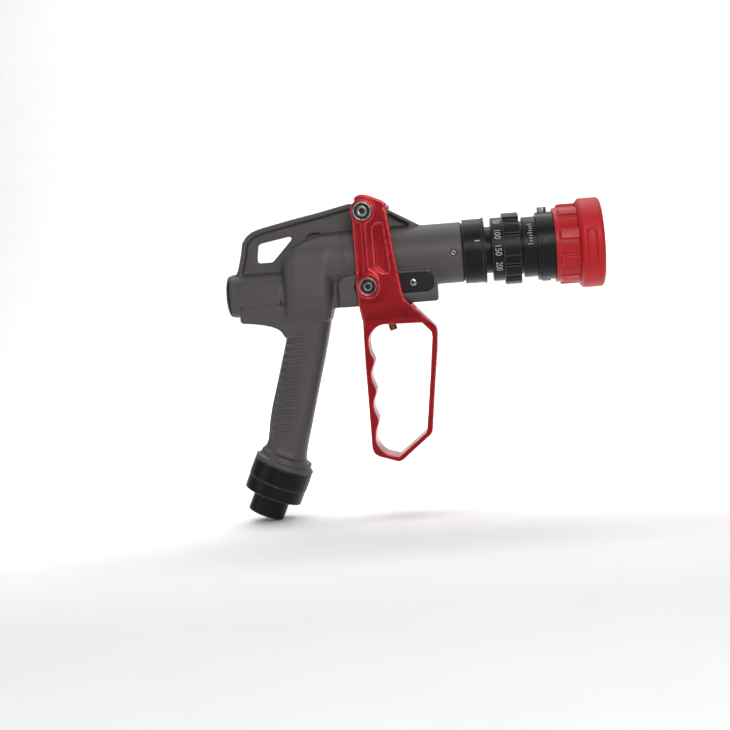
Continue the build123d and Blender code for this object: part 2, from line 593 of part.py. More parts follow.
with BuildPart() as lever_casting:
    outline(LEVER_OUTLINE, CHEEK_OUTER)
    with BuildSketch(FRONT_VIEW) as width:
        with BuildLine():
            Polyline(*CHEEK_PROFILE, close=True)
        make_face()
    extrude(width.sketch, amount=150, mode=Mode.INTERSECT)
    with BuildSketch(FRONT_VIEW) as gap:
        with BuildLine():
            Polyline(*BETWEEN_CHEEKS, close=True)
        make_face()
    extrude(gap.sketch, amount=150, mode=Mode.SUBTRACT)
    with BuildSketch(SIDE) as loop_window:
        with BuildLine():
            top = Line((-53.7, -63.2), (-90, LOOP_TOP))
            corner = ThreePointArc(top @ 1, (-100.3, -67.5), (VALLEY_X, FINGER_TOP))
            last = corner @ 1
            for k in range(3):
                z = FINGER_TOP - k * FINGER_PITCH
                down = Spline((VALLEY_X, z), (PEAK_X, z - FINGER_PITCH / 2),
                              (VALLEY_X, z - FINGER_PITCH), tangents=[(0, -1), (0, -1)])
            heel = ThreePointArc(down @ 1, (-100.2, -180), (-93, -184.6))
            point = Line(heel @ 1, (-84.3, -187.3))
            Polyline(point @ 1, (-57, -166.2), (-56.1, -160.5), (-49.2, -111.2),
                     (-44.9, -77), (-45.4, -72.2), (-53.7, -63.2))
        make_face()
    extrude(loop_window.sketch, amount=CHEEK_OUTER, both=True, mode=Mode.SUBTRACT)
    for side in (-1, 1):
        for relief in (REAR_RELIEF, FRONT_RELIEF):
            with BuildSketch(side_at(side * (CHEEK_OUTER - RELIEF_DEPTH))) as pocket:
                with BuildLine():
                    Polyline(*relief, close=True)
                make_face()
            extrude(pocket.sketch, amount=-side * 2 * RELIEF_DEPTH, mode=Mode.SUBTRACT)
        with BuildSketch(side_at(side * (CHEEK_OUTER - RELIEF_DEPTH))) as rib:
            with BuildLine():
                Polyline(*LEVER_RIB, close=True)
            make_face()
        extrude(rib.sketch, amount=-side * (LEVER_RIB_FACE - CHEEK_OUTER + RELIEF_DEPTH))
        for centre in (PIVOT, DRIVE):
            pin_across(centre, LEVER_BOSS_R, *sorted((side * CHEEK_INNER, side * LEVER_BOSS_FACE)))
    outline(SADDLE_OUTLINE, CHEEK_OUTER)
    for side in (-1, 1):
        with BuildSketch(side_at(side * CHEEK_INNER)) as foot:
            with BuildLine():
                Polyline(*BRIDGE_FOOT, close=True)
            make_face()
        extrude(foot.sketch, amount=-side * (CHEEK_OUTER - CHEEK_INNER))
        with BuildSketch(side_at(side * (RIB_HALF + 2))) as shoulder:
            with BuildLine():
                Polyline(*BRIDGE_OUTLINE, close=True)
            make_face()
        extrude(shoulder.sketch, amount=-side * (CHEEK_OUTER - RIB_HALF - 2))
    pin_across(PIVOT, AXLE_R, -LEVER_BOSS_FACE - 1, LEVER_BOSS_FACE + 1, Mode.SUBTRACT)
    pin_across(DRIVE, DRIVE_PIN_R, -LEVER_BOSS_FACE - 1, LEVER_BOSS_FACE + 1, Mode.SUBTRACT)
    for side in (-1, 1):
        countersink = Plane(origin=(DATUM_X + DRIVE[0], side * (LEVER_BOSS_FACE - 4),
                                    DATUM_Z + DRIVE[1]), z_dir=(0, side, 0))
        with BuildSketch(countersink) as sink:
            Circle(DRIVE_PIN_R)
        with BuildSketch(countersink.offset(4)) as mouth:
            Circle(8)
        loft([sink.sketch.face(), mouth.sketch.face()], mode=Mode.SUBTRACT)
    with BuildSketch(Plane(origin=STOP_TOP, z_dir=STOP_RUN)) as tap:
        Circle(STOP_R)
    extrude(tap.sketch, amount=25, mode=Mode.SUBTRACT)
save(lever_casting, "lever_casting")
print("lever", len(lever_casting.part.solids()), round(lever_casting.part.volume))

with BuildPart() as stop_screw:
    with BuildSketch(Plane(origin=STOP_TOP, z_dir=STOP_RUN)) as shank:
        Circle(STOP_R)
    extrude(shank.sketch, amount=STOP_LENGTH)
    chamfer(stop_screw.edges().filter_by(GeomType.CIRCLE), 0.4)
save(stop_screw, "stop_screw")

with BuildPart() as pivot_axle:
    pin_across(PIVOT, AXLE_R, -LEVER_BOSS_FACE, LEVER_BOSS_FACE)
    pin_across(PIVOT, 2.5, -LEVER_BOSS_FACE - 1, LEVER_BOSS_FACE + 1, Mode.SUBTRACT)
save(pivot_axle, "pivot_axle")

with BuildPart() as pivot_screws:
    for side in (-1, 1):
        face = side * LEVER_BOSS_FACE
        pin_across(PIVOT, 8.9, *sorted((face, face + side * 2.2)))
        pin_across(PIVOT, 5.0, *sorted((face + side * 2.2, face + side * 3.6)))
        pin_across(PIVOT, 2.45, *sorted((face, face - side * 14)))
        with BuildSketch(side_at(face + side * 3.6)) as socket:
            with Locations(PIVOT):
                RegularPolygon(3, 6)
        extrude(socket.sketch, amount=side * 3, mode=Mode.SUBTRACT)
save(pivot_screws, "pivot_screws")

with BuildPart() as pivot_bushes:
    for side in (-1, 1):
        pin_across(PIVOT, AXLE_R + 2, *sorted((side * 12, side * HUB_HALF)))
    pin_across(PIVOT, AXLE_R + RUNNING, -HUB_HALF - 1, HUB_HALF + 1, Mode.SUBTRACT)
save(pivot_bushes, "pivot_bushes")

with BuildPart() as drive_pin:
    pin_across(DRIVE, DRIVE_PIN_R, -LEVER_BOSS_FACE + 4, LEVER_BOSS_FACE - 4)
    pin_across(DRIVE, 2.0, -LEVER_BOSS_FACE, LEVER_BOSS_FACE, Mode.SUBTRACT)
save(drive_pin, "drive_pin")

with BuildPart() as drive_pin_screws:
    for side in (-1, 1):
        base = Plane(origin=(DATUM_X + DRIVE[0], side * (LEVER_BOSS_FACE - 4),
                             DATUM_Z + DRIVE[1]), z_dir=(0, side, 0))
        with BuildSketch(base) as throat:
            Circle(DRIVE_PIN_R)
        with BuildSketch(base.offset(4)) as brim:
            Circle(8)
        loft([throat.sketch.face(), brim.sketch.face()])
        with BuildSketch(base) as shank:
            Circle(1.95)
        extrude(shank.sketch, amount=-12)
        with BuildSketch(base.offset(4)) as socket:
            RegularPolygon(2.9, 6)
        extrude(socket.sketch, amount=-2.6, mode=Mode.SUBTRACT)
save(drive_pin_screws, "drive_pin_screws")

with BuildPart() as drive_roller:
    pin_across(DRIVE, ROLLER_R, -13, 13)
    pin_across(DRIVE, DRIVE_PIN_R, -14, 14, Mode.SUBTRACT)
save(drive_roller, "drive_roller")

# ---- head: stem, flow ring, outer barrel ----------------------------------------------
FLOW_REAR = 17.0
FLOW_LUGS = 28.0
FLOW_FRONT = 43.4
FLOW_LUG_R = 34.0
FLOW_RECESS_R = 31.0
METER_PIN_X = 35.5
METER_PIN_R = 2.0
METER_TURN = (-30, 60)     # flow ring travel about the barrel, degrees
PIN_DIRECTION = 267.0      # metering pin sits in the recess at the bottom
SLOT_MARGIN = 8.5          # its slot is this much longer than the travel at each end, degrees
DETENT_X = 22.5

with BuildPart() as head_stem:
    turn([(SPIGOT_REAR, STEM_BORE_R), (SPIGOT_REAR, COUNTERBORE_R), (-26.4, COUNTERBORE_R),
          (-26.4, 21.8), (-23.4, 21.8), (-23.4, COUNTERBORE_R), (BARREL_FRONT, COUNTERBORE_R),
          (BARREL_FRONT, 27.2), (-9.6, 27.2), (-9.6, 29.7), (-9, 30.3), (8.5, 30.3), (8.5, 31),
          (10.2, 31), (10.8, 30.4), (10.8, STEM_R), (60, STEM_R), (60, STEM_BORE_R)])
    with BuildSketch(station(METER_PIN_X - METER_PIN_R - 0.1)) as slot:
        with BuildLine():
            first = PIN_DIRECTION + METER_TURN[0] - SLOT_MARGIN
            sweep_angle = METER_TURN[1] - METER_TURN[0] + 2 * SLOT_MARGIN
            rim = CenterArc((0, 0), STEM_R + 1, first, sweep_angle)
            root = CenterArc((0, 0), STEM_BORE_R - 1, first, sweep_angle)
            Line(rim @ 0, root @ 0)
            Line(rim @ 1, root @ 1)
        make_face()
    extrude(slot.sketch, amount=2 * METER_PIN_R + 0.2, mode=Mode.SUBTRACT)
    with BuildSketch(Plane(origin=(DATUM_X + DETENT_X, 0, DATUM_Z + 15.5))) as detent_hole:
        Circle(2.1)
    extrude(detent_hole.sketch, amount=10, mode=Mode.SUBTRACT)
    with BuildSketch(side_at(-26)) as dimple:
        with Locations((-19.2, -0.3)):
            Circle(2.5)
    extrude(dimple.sketch, amount=-3.6, mode=Mode.SUBTRACT)
save(head_stem, "head_stem")

with BuildPart() as head_seal:
    o_ring(-24.9, 22.9, 1.1)
save(head_seal, "head_seal")

with BuildPart() as detent_spring:
    with BuildSketch(Plane(origin=(DATUM_X + DETENT_X, 0, DATUM_Z + 15.6))) as sleeve:
        Circle(1.7)
        Circle(1.1, mode=Mode.SUBTRACT)
    extrude(sleeve.sketch, amount=3.0)
save(detent_spring, "detent_spring")

with BuildPart() as detent_ball:
    with Locations((DATUM_X + DETENT_X, 0, DATUM_Z + 20.7)):
        Sphere(2.0)
save(detent_ball, "detent_ball")

with BuildPart() as flow_ring:
    turn([(FLOW_REAR, STEM_R + RUNNING), (FLOW_REAR, 29.4), (17.6, 30), (27.6, 30),
          (FLOW_LUGS, 30.6), (FLOW_LUGS, FLOW_LUG_R - 0.6), (28.6, FLOW_LUG_R),
          (42.8, FLOW_LUG_R), (FLOW_FRONT, FLOW_LUG_R - 0.6), (FLOW_FRONT, STEM_R + RUNNING)])
    pitch = 360 / LUG_COUNT_FLOW
    sectors(station(FLOW_LUGS - 0.1), FLOW_RECESS_R, FLOW_LUG_R + 1, NEAR_SIDE + 3 + pitch / 2,
            pitch / 2, LUG_COUNT_FLOW, FLOW_FRONT - FLOW_LUGS + 1, Mode.SUBTRACT)
    ring(DETENT_X - 2.3, DETENT_X + 2.3, 21, STEM_R + 1.1, mode=Mode.SUBTRACT)
    for k in range(METER_TURN[0], METER_TURN[1] + 1, 30):
        with BuildSketch(Plane(origin=(DATUM_X + DETENT_X, 0, DATUM_Z),
                               z_dir=(0, sin(radians(k)), cos(radians(k))))) as seat:
            Circle(1.2)
        extrude(seat.sketch, amount=STEM_R + 1.6, mode=Mode.SUBTRACT)
    with BuildSketch(Plane(origin=(DATUM_X + METER_PIN_X, 0, DATUM_Z),
                           z_dir=(0, cos(radians(PIN_DIRECTION)), sin(radians(PIN_DIRECTION)))
                           )) as pin_hole:
        Circle(METER_PIN_R)
    extrude(pin_hole.sketch, amount=FLOW_LUG_R, mode=Mode.SUBTRACT)
save(flow_ring, "flow_ring")

with BuildPart() as metering_pin:
    pin_plane = Plane(origin=(DATUM_X + METER_PIN_X, 0, DATUM_Z),
                      z_dir=(0, cos(radians(PIN_DIRECTION)), sin(radians(PIN_DIRECTION))))
    with BuildSketch(pin_plane.offset(13)) as pin_section:
        Circle(METER_PIN_R)
    extrude(pin_section.sketch, amount=FLOW_RECESS_R - 13.4)
save(metering_pin, "metering_pin")

with BuildPart() as metering_sleeve:
    ring(26, 45, 13, STEM_BORE_R - RUNNING)
    for k in range(3):
        port = radians(PIN_DIRECTION + 90 + k * 90)
        with BuildSketch(Plane(origin=(DATUM_X + METER_PIN_X, 0, DATUM_Z),
                               z_dir=(0, cos(port), sin(port)))) as window:
            Circle(4)
        extrude(window.sketch, amount=20, mode=Mode.SUBTRACT)
    with BuildSketch(Plane(origin=(DATUM_X + METER_PIN_X, 0, DATUM_Z),
                           z_dir=(0, cos(radians(PIN_DIRECTION)), sin(radians(PIN_DIRECTION)))
                           )) as pin_hole:
        Circle(METER_PIN_R)
    extrude(pin_hole.sketch, amount=20, mode=Mode.SUBTRACT)
save(metering_sleeve, "metering_sleeve")

BARREL_LIP = 97.0
COLLAR_REAR = 59.4
COLLAR_FRONT = 75.5
GUIDE_X = 66.5
GROOVE_R = 24.2

with BuildPart() as outer_barrel:
    turn([(44, STEM_R), (44, 25), (46.5, 25), (46.5, 28), (47, 28.5), (58.6, 28.5),
          (59.1, 28), (59.1, CORE_R), (GUIDE_X - 2.4, CORE_R), (GUIDE_X - 2.4, GROOVE_R),
          (GUIDE_X + 2.4, GROOVE_R), (GUIDE_X + 2.4, CORE_R), (91.5, CORE_R), (91.5, 23.8),
          (94.3, 23.8), (94.3, CORE_R), (BARREL_LIP, CORE_R), (BARREL_LIP, 22.5), (90, 19.5),
          (64, 19.5), (60, STEM_R)])
save(outer_barrel, "outer_barrel")

with BuildPart() as sleeve_seal:
    o_ring(92.9, 24.9, 1.1)
save(sleeve_seal, "sleeve_seal")

with BuildPart() as baffle_spider:
    ring(46, 54, 12.6, STEM_BORE_R)
    ring(46, 54, 3, 6)
    for k in range(3):
        with BuildSketch(station(46)) as spoke:
            with PolarLocations(9.3, 1, start_angle=90 + 120 * k):
                Rectangle(7.6, 2.4)
        extrude(spoke.sketch, amount=8)
save(baffle_spider, "baffle_spider")

with BuildPart() as baffle_stem:
    turn([(44, 0), (44, 3), (54, 3), (54, 4), (98, 4), (98, 2.5), (108, 2.5), (108, 0)])
save(baffle_stem, "baffle_stem")

with BuildPart() as deflector:
    turn([(98, 2.5), (98, 7), (101, 18.4), (104.5, 18.4), (104.5, 16.5), (103, 14),
          (103, 2.5)])
save(deflector, "deflector")

with BuildPart() as deflector_nut:
    with BuildSketch(station(103)) as hexagon:
        RegularPolygon(5.2, 6)
        Circle(2.5, mode=Mode.SUBTRACT)
    extrude(hexagon.sketch, amount=4)
save(deflector_nut, "deflector_nut")

# ---- drive collar, pattern sleeve, bumper ---------------------------------------------
TONGUE_INNER = 26.3
TONGUE_OUTER = 29.2
TONGUE_LENGTH = 13.0
TONGUE_WIDTH = 20.0
KEYWAY_WIDTH = 21.2
SCREW_HEAD_R = 4.4
SLEEVE_REAR = 75.8

with BuildPart() as drive_collar:
    turn([(COLLAR_REAR, CORE_R + RUNNING), (COLLAR_REAR, 31.4), (60, 32), (74.9, 32),
          (COLLAR_FRONT, 31.4), (COLLAR_FRONT, CORE_R + RUNNING)])
    sectors(station(COLLAR_FRONT - 0.01), TONGUE_INNER, TONGUE_OUTER, 30, TONGUE_WIDTH, 3,
            TONGUE_LENGTH, Mode.ADD)
    for side in (-1, 1):
        with BuildSketch(Plane(origin=(DATUM_X + GUIDE_X, 0, DATUM_Z), z_dir=(0, 0, side))) as tap:
            Circle(2.1)
        extrude(tap.sketch, amount=40, mode=Mode.SUBTRACT)
        with BuildSketch(Plane(origin=(DATUM_X + GUIDE_X, 0, DATUM_Z + side * 31.2),
                               z_dir=(0, 0, side))) as flat:
            Circle(SCREW_HEAD_R + 0.5)
        extrude(flat.sketch, amount=5, mode=Mode.SUBTRACT)
save(drive_collar, "drive_collar")

with BuildPart() as collar_screws:
    for direction, head_height in ((1, 5.4), (-1, 2.0)):
        head_plane = Plane(origin=(DATUM_X + GUIDE_X, 0, DATUM_Z + direction * 31.2),
                           z_dir=(0, 0, direction))
        with BuildSketch(head_plane) as head:
            Circle(SCREW_HEAD_R)
        extrude(head.sketch, amount=head_height)
        with BuildSketch(head_plane) as shank:
            Circle(2.05)
        extrude(shank.sketch, amount=-(31.2 - GROOVE_R - 0.4))
        with BuildSketch(head_plane.offset(head_height)) as socket:
            RegularPolygon(2.3, 6)
        extrude(socket.sketch, amount=-min(head_height - 0.6, 2.5), mode=Mode.SUBTRACT)
save(collar_screws, "collar_screws")

SLEEVE_R = 38.0
SLEEVE_RECESS_R = 35.5
SLEEVE_BORE_R = CORE_R + RUNNING
LUG_MIDDLE = NEAR_SIDE - 14.2
BUMPER_REAR = 97.6
MOUTH_R = 36.2

with BuildPart() as pattern_sleeve:
    turn([(SLEEVE_REAR, SLEEVE_BORE_R), (SLEEVE_REAR, 34.5), (76.3, 35), (79, 35),
          (79, 35.6), (81.2, SLEEVE_R), (BUMPER_REAR - 0.1, SLEEVE_R),
          (BUMPER_REAR - 0.1, 36), (117.5, 36), (117.5, 34), (101, 29.5), (98.5, 27.5),
          (98.5, SLEEVE_BORE_R)])
    pitch = 360 / LUG_COUNT_SLEEVE
    lug_width = 13.5
    sectors(station(79), SLEEVE_RECESS_R, SLEEVE_R + 1, LUG_MIDDLE + pitch / 2,
            pitch - lug_width, LUG_COUNT_SLEEVE, BUMPER_REAR - 79 + 1, Mode.SUBTRACT)
    sectors(station(SLEEVE_REAR - 1), SLEEVE_BORE_R - 1, TONGUE_OUTER + 0.4, 30, KEYWAY_WIDTH,
            3, TONGUE_LENGTH + 2.5, Mode.SUBTRACT)
save(pattern_sleeve, "pattern_sleeve")

with BuildPart() as bumper:
    turn([(BUMPER_REAR, 36), (BUMPER_REAR, 38), (100.4, 41.6), (101.2, BUMPER_R),
          (117.6, BUMPER_R), (119.6, 41.4), (BUMPER_FRONT, 39.4), (BUMPER_FRONT, 37.4),
          (119.7, MOUTH_R), (117.5, MOUTH_R), (117.5, 36)])
    sectors(station(104.3), BUMPER_R - 1.6, BUMPER_R + 1, NEAR_SIDE + 7.3, 50, 3, 8.6,
            Mode.SUBTRACT)
save(bumper, "bumper")

with BuildPart() as fog_teeth:
    ring(115.5, 117.5, 31.5, 33.4)
    sectors(station(113.2), 31.5, 32.6, 0, 7.5, 24, 2.3, Mode.ADD)
save(fog_teeth, "fog_teeth")

# ---- inlet swivel ---------------------------------------------------------------------
COLLAR_FOOT = 32.6
SWIVEL_TOP = 32.2
SWIVEL_FOOT = 19.0
BALL_STATION = 26.6
SKIRT_FOOT = 22.0
SPIGOT_R = 19.0
THREAD_LENGTH = 16.0
GASKET_R = 12.6
GASKET_BORE_R = 9.8

with BuildPart() as inlet_collar:
    inlet_turn([(SPIGOT_R, 48.5), (COLLAR_R - 0.5, 48.5), (COLLAR_R, 48), (COLLAR_R, 33.2),
                (COLLAR_R - 0.6, COLLAR_FOOT), (BALL_TRACK_R, COLLAR_FOOT),
                (BALL_TRACK_R, SKIRT_FOOT), (SPIGOT_R + 0.1, SKIRT_FOOT),
                (SPIGOT_R + 0.1, 34), (SPIGOT_R, 34)])
    inlet_o_ring(BALL_STATION, BALL_TRACK_R, BALL_R, Mode.SUBTRACT)
    screw_way = Vector(0.724, -0.690, 0)
    set_plane = Plane(origin=UP * 41.5, z_dir=FORWARD * screw_way.X + Vector(0, screw_way.Y, 0))
    with BuildSketch(set_plane) as tap:
        Circle(2.1)
    extrude(tap.sketch, amount=COLLAR_R + 1, mode=Mode.SUBTRACT)
save(inlet_collar, "inlet_collar")

with BuildPart() as collar_set_screw:
    with BuildSketch(set_plane.offset(SPIGOT_R + 0.2)) as thread:
        Circle(2.05)
    extrude(thread.sketch, amount=COLLAR_R - SPIGOT_R - 0.4)
    with BuildSketch(set_plane.offset(COLLAR_R - 0.2)) as slot:
        Rectangle(6, 0.8)
    extrude(slot.sketch, amount=-1, mode=Mode.SUBTRACT)
save(collar_set_screw, "collar_set_screw")

with BuildPart() as swivel_balls:
    for k in range(BALL_COUNT):
        turn_angle = radians(360 * k / BALL_COUNT)
        spot = UP * BALL_STATION + FORWARD * (BALL_TRACK_R * cos(turn_angle))
        with Locations(spot + Vector(0, BALL_TRACK_R * sin(turn_angle), 0)):
            Sphere(BALL_R)
save(swivel_balls, "swivel_balls")

with BuildPart() as swivel_collar:
    inlet_turn([(STUB_R, SWIVEL_FOOT), (26.4, SWIVEL_FOOT), (27.8, SWIVEL_FOOT + 1.4),
                (27.8, SWIVEL_TOP), (BALL_TRACK_R + RUNNING, SWIVEL_TOP),
                (BALL_TRACK_R + RUNNING, 21.6), (STUB_R, 21.6)])
    inlet_o_ring(BALL_STATION, BALL_TRACK_R, BALL_R + 0.1, Mode.SUBTRACT)
save(swivel_collar, "swivel_collar")

with BuildPart() as inlet_stub:
    inlet_turn([(MOUTH_THREAD_R, 0), (STUB_R - 1, 0), (STUB_R, 1), (STUB_R, 21.6),
                (SPIGOT_R + 0.05, 21.8), (SPIGOT_R + 0.05, 28.4), (17.6, 28.4), (17.6, 30.6),
                (SPIGOT_R + 0.05, 30.6), (SPIGOT_R + 0.05, 33.2), (12, 33.2), (12, 19.6),
                (GASKET_BORE_R, 19.6), (GASKET_BORE_R, 18), (GASKET_R, 18),
                (GASKET_R, THREAD_LENGTH), (MOUTH_THREAD_R, THREAD_LENGTH)])
save(inlet_stub, "inlet_stub")

with BuildPart() as swivel_seal:
    inlet_o_ring(29.5, 18.4, 0.68)
save(swivel_seal, "swivel_seal")

with BuildPart() as inlet_gasket:
    inlet_ring(THREAD_LENGTH, 18, GASKET_BORE_R, GASKET_R)
save(inlet_gasket, "inlet_gasket")

with BuildPart() as inlet_strainer:
    with BuildSketch(inlet_station(19.6)) as mesh:
        Circle(11.9)
        with HexLocations(1.9, 5, 5):
            Circle(1.2, mode=Mode.SUBTRACT)
    extrude(mesh.sketch, amount=1)
save(inlet_strainer, "inlet_strainer")
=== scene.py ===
# %% [markdown]
# # Fire hose nozzle
# A pistol-grip nozzle is a cast aluminium body with machined rings screwed to its front and
# a swivel at its foot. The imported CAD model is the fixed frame: it says where everything is.
# This script builds a finer skin for each part that shows, and gives every part a finish.

# %% Load the frame
import json
from math import atan2, cos, hypot, pi, radians, sin

import bmesh
import bpy
from mathutils import Matrix, Vector
from mathutils.bvhtree import BVHTree


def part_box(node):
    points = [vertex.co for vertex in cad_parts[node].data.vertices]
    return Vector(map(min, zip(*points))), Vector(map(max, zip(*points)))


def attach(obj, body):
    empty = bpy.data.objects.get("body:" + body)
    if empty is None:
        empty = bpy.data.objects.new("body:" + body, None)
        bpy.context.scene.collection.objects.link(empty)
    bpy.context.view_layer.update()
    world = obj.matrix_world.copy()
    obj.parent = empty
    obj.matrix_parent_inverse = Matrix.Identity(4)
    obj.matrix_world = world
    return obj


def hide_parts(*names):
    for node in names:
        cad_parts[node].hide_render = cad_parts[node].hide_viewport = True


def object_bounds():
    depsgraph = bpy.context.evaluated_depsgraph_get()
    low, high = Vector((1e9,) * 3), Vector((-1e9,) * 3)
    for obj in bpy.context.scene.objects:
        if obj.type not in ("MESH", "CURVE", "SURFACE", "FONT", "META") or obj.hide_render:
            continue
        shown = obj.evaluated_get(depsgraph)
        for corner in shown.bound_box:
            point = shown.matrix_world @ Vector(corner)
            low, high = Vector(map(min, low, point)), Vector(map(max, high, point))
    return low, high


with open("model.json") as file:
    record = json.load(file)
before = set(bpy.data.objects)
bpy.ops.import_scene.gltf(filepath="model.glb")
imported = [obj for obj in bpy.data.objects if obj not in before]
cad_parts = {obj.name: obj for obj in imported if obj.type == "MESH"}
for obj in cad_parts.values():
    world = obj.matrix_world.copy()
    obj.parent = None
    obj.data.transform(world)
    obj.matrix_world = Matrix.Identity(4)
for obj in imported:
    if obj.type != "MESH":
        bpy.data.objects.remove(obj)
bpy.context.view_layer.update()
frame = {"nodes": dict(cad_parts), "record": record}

# %% [markdown]
# ## Places
# All shapes are drawn in millimetres around the axis that they turn on in the lathe, with X
# along that axis. One matrix then puts a finished mesh into the frame, in metres, so each
# object stays at the origin, unturned and unscaled. The barrel axis lies level at the height
# of its rings. The inlet axis leans back from the foot of the grip, which is the origin.

# %% Places
MM = 0.001
stem_low, stem_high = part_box("head_stem")
BARREL_HEIGHT = (stem_low.z + stem_high.z) / 2 / MM
DATUM_STATION = stem_high.x / MM - 60.0
ON_BARREL = Matrix.Scale(MM, 4) @ Matrix.Translation((DATUM_STATION, 0, BARREL_HEIGHT))
INLET_TILT = 24.7
ON_INLET = Matrix.Scale(MM, 4) @ Matrix.Rotation(radians(INLET_TILT), 4, "Y") \
    @ Matrix.Rotation(radians(-90), 4, "Y")
print("barrel axis at", round(BARREL_HEIGHT, 2), "mm, datum station", round(DATUM_STATION, 2))


def across(station, height, side):
    """place of a turned shape whose axis is square to the side, side -1 being the left"""
    facing = Matrix.Rotation(radians(90 * side), 4, "Z")
    return ON_BARREL @ Matrix.Translation((station, 0, height)) @ facing


def upright(station, up=1):
    """place of a turned shape that stands on the barrel, or hangs below it"""
    return ON_BARREL @ Matrix.Translation((station, 0, 0)) @ Matrix.Rotation(radians(-90 * up), 4, "Y")


# %% [markdown]
# ## Adding nodes and colours
# A material is a small tree of nodes. One function adds a node with its settings and links,
# so that each finish below reads as a short list. Colours are written as in a paint chart,
# in sRGB hex, and one function turns them to the linear light that the renderer works in.

# %% Node and colour helpers
def linear(hex_colour):
    """a #rrggbb colour as linear RGBA"""
    parts = [int(hex_colour[i:i + 2], 16) / 255 for i in (1, 3, 5)]
    return [c / 12.92 if c <= 0.04045 else ((c + 0.055) / 1.055) ** 2.4 for c in parts] + [1.0]


def node(tree, kind, sockets=None, **settings):
    """adds a node: settings are its options, sockets its inputs, as constants or links"""
    made = tree.nodes.new(kind)
    for name, value in settings.items():
        setattr(made, name, value)
    for socket, value in (sockets or {}).items():
        if isinstance(value, bpy.types.NodeSocket):
            tree.links.new(value, made.inputs[socket])
        else:
            made.inputs[socket].default_value = value
    return made


def new_finish(name):
    """an empty material: its tree, its shader and the object coordinates"""
    material = bpy.data.materials.new(name)
    material.use_nodes = True
    tree = material.node_tree
    shader = tree.nodes["Principled BSDF"]
    place = node(tree, "ShaderNodeTexCoord").outputs["Object"]
    return material, tree, shader, place


def per(size_mm):
    """the scale of a pattern whose features are this many millimetres across"""
    return 1.0 / (size_mm * MM)


MIX_A, MIX_B, MIX_COLOUR = 6, 7, 2


# %% [markdown]
# ## Cast body: hard-anodised aluminium
# The body is cast in a mould, shot-blasted and hard-anodised, which leaves a warm dark grey
# skin with a fine matt grain. It is cloudy over a few centimetres, because the oxide takes
# the colour unevenly. Handling rubs the outer edges a little paler, and pointiness finds them.

# %% Cast body finish
def cast_body_finish():
    """fine blasted grain, slow cloudiness and paler rubbed edges"""
    material, tree, shader, place = new_finish("aluminium_cast_blasted_hard_anodised")
    clouds = node(tree, "ShaderNodeTexNoise", {"Vector": place, "Scale": per(26), "Detail": 3.0})
    grain = node(tree, "ShaderNodeTexNoise", {"Vector": place, "Scale": per(0.9), "Detail": 4.0})
    tone = node(tree, "ShaderNodeMix", {0: clouds.outputs[0], MIX_A: linear("#403d3c"),
                                        MIX_B: linear("#4d4a49")}, data_type="RGBA")
    speck = node(tree, "ShaderNodeMapRange", {0: grain.outputs[0], 1: 0.35, 2: 0.7, 3: 0.0, 4: 0.5})
    grained = node(tree, "ShaderNodeMix", {0: speck.outputs[0], MIX_A: tone.outputs[MIX_COLOUR],
                                           MIX_B: linear("#585452")}, data_type="RGBA")
    shape = node(tree, "ShaderNodeNewGeometry")
    edge = node(tree, "ShaderNodeMapRange", {0: shape.outputs["Pointiness"], 1: 0.53, 2: 0.6,
                                             3: 0.0, 4: 0.5})
    rubbed = node(tree, "ShaderNodeMath", {0: edge.outputs[0], 1: clouds.outputs[0]},
                  operation="MULTIPLY")
    worn = node(tree, "ShaderNodeMix", {0: rubbed.outputs[0], MIX_A: grained.outputs[MIX_COLOUR],
                                        MIX_B: linear("#8a8683")}, data_type="RGBA")
    sheen = node(tree, "ShaderNodeMapRange", {0: grain.outputs[0], 1: 0.3, 2: 0.7, 3: 0.46, 4: 0.6})
    bump = node(tree, "ShaderNodeBump", {"Height": grain.outputs[0], "Strength": 0.35,
                                         "Distance": 0.12 * MM})
    tree.links.new(worn.outputs[MIX_COLOUR], shader.inputs["Base Color"])
    tree.links.new(sheen.outputs[0], shader.inputs["Roughness"])
    tree.links.new(bump.outputs[0], shader.inputs["Normal"])
    shader.inputs["Metallic"].default_value = 0.35
    return material


CAST_BODY = cast_body_finish()
print("made", CAST_BODY.name)

# %% [markdown]
# ## Lever: red anodised aluminium
# The lever is cast, machined where it shows and dyed in a bright red anodising bath, so the
# metal shines through the colour. Its edges have lost their dye to gloves and tools: they show
# pale pink. The mesh carries a number on each face beside an edge, and noise breaks it up.

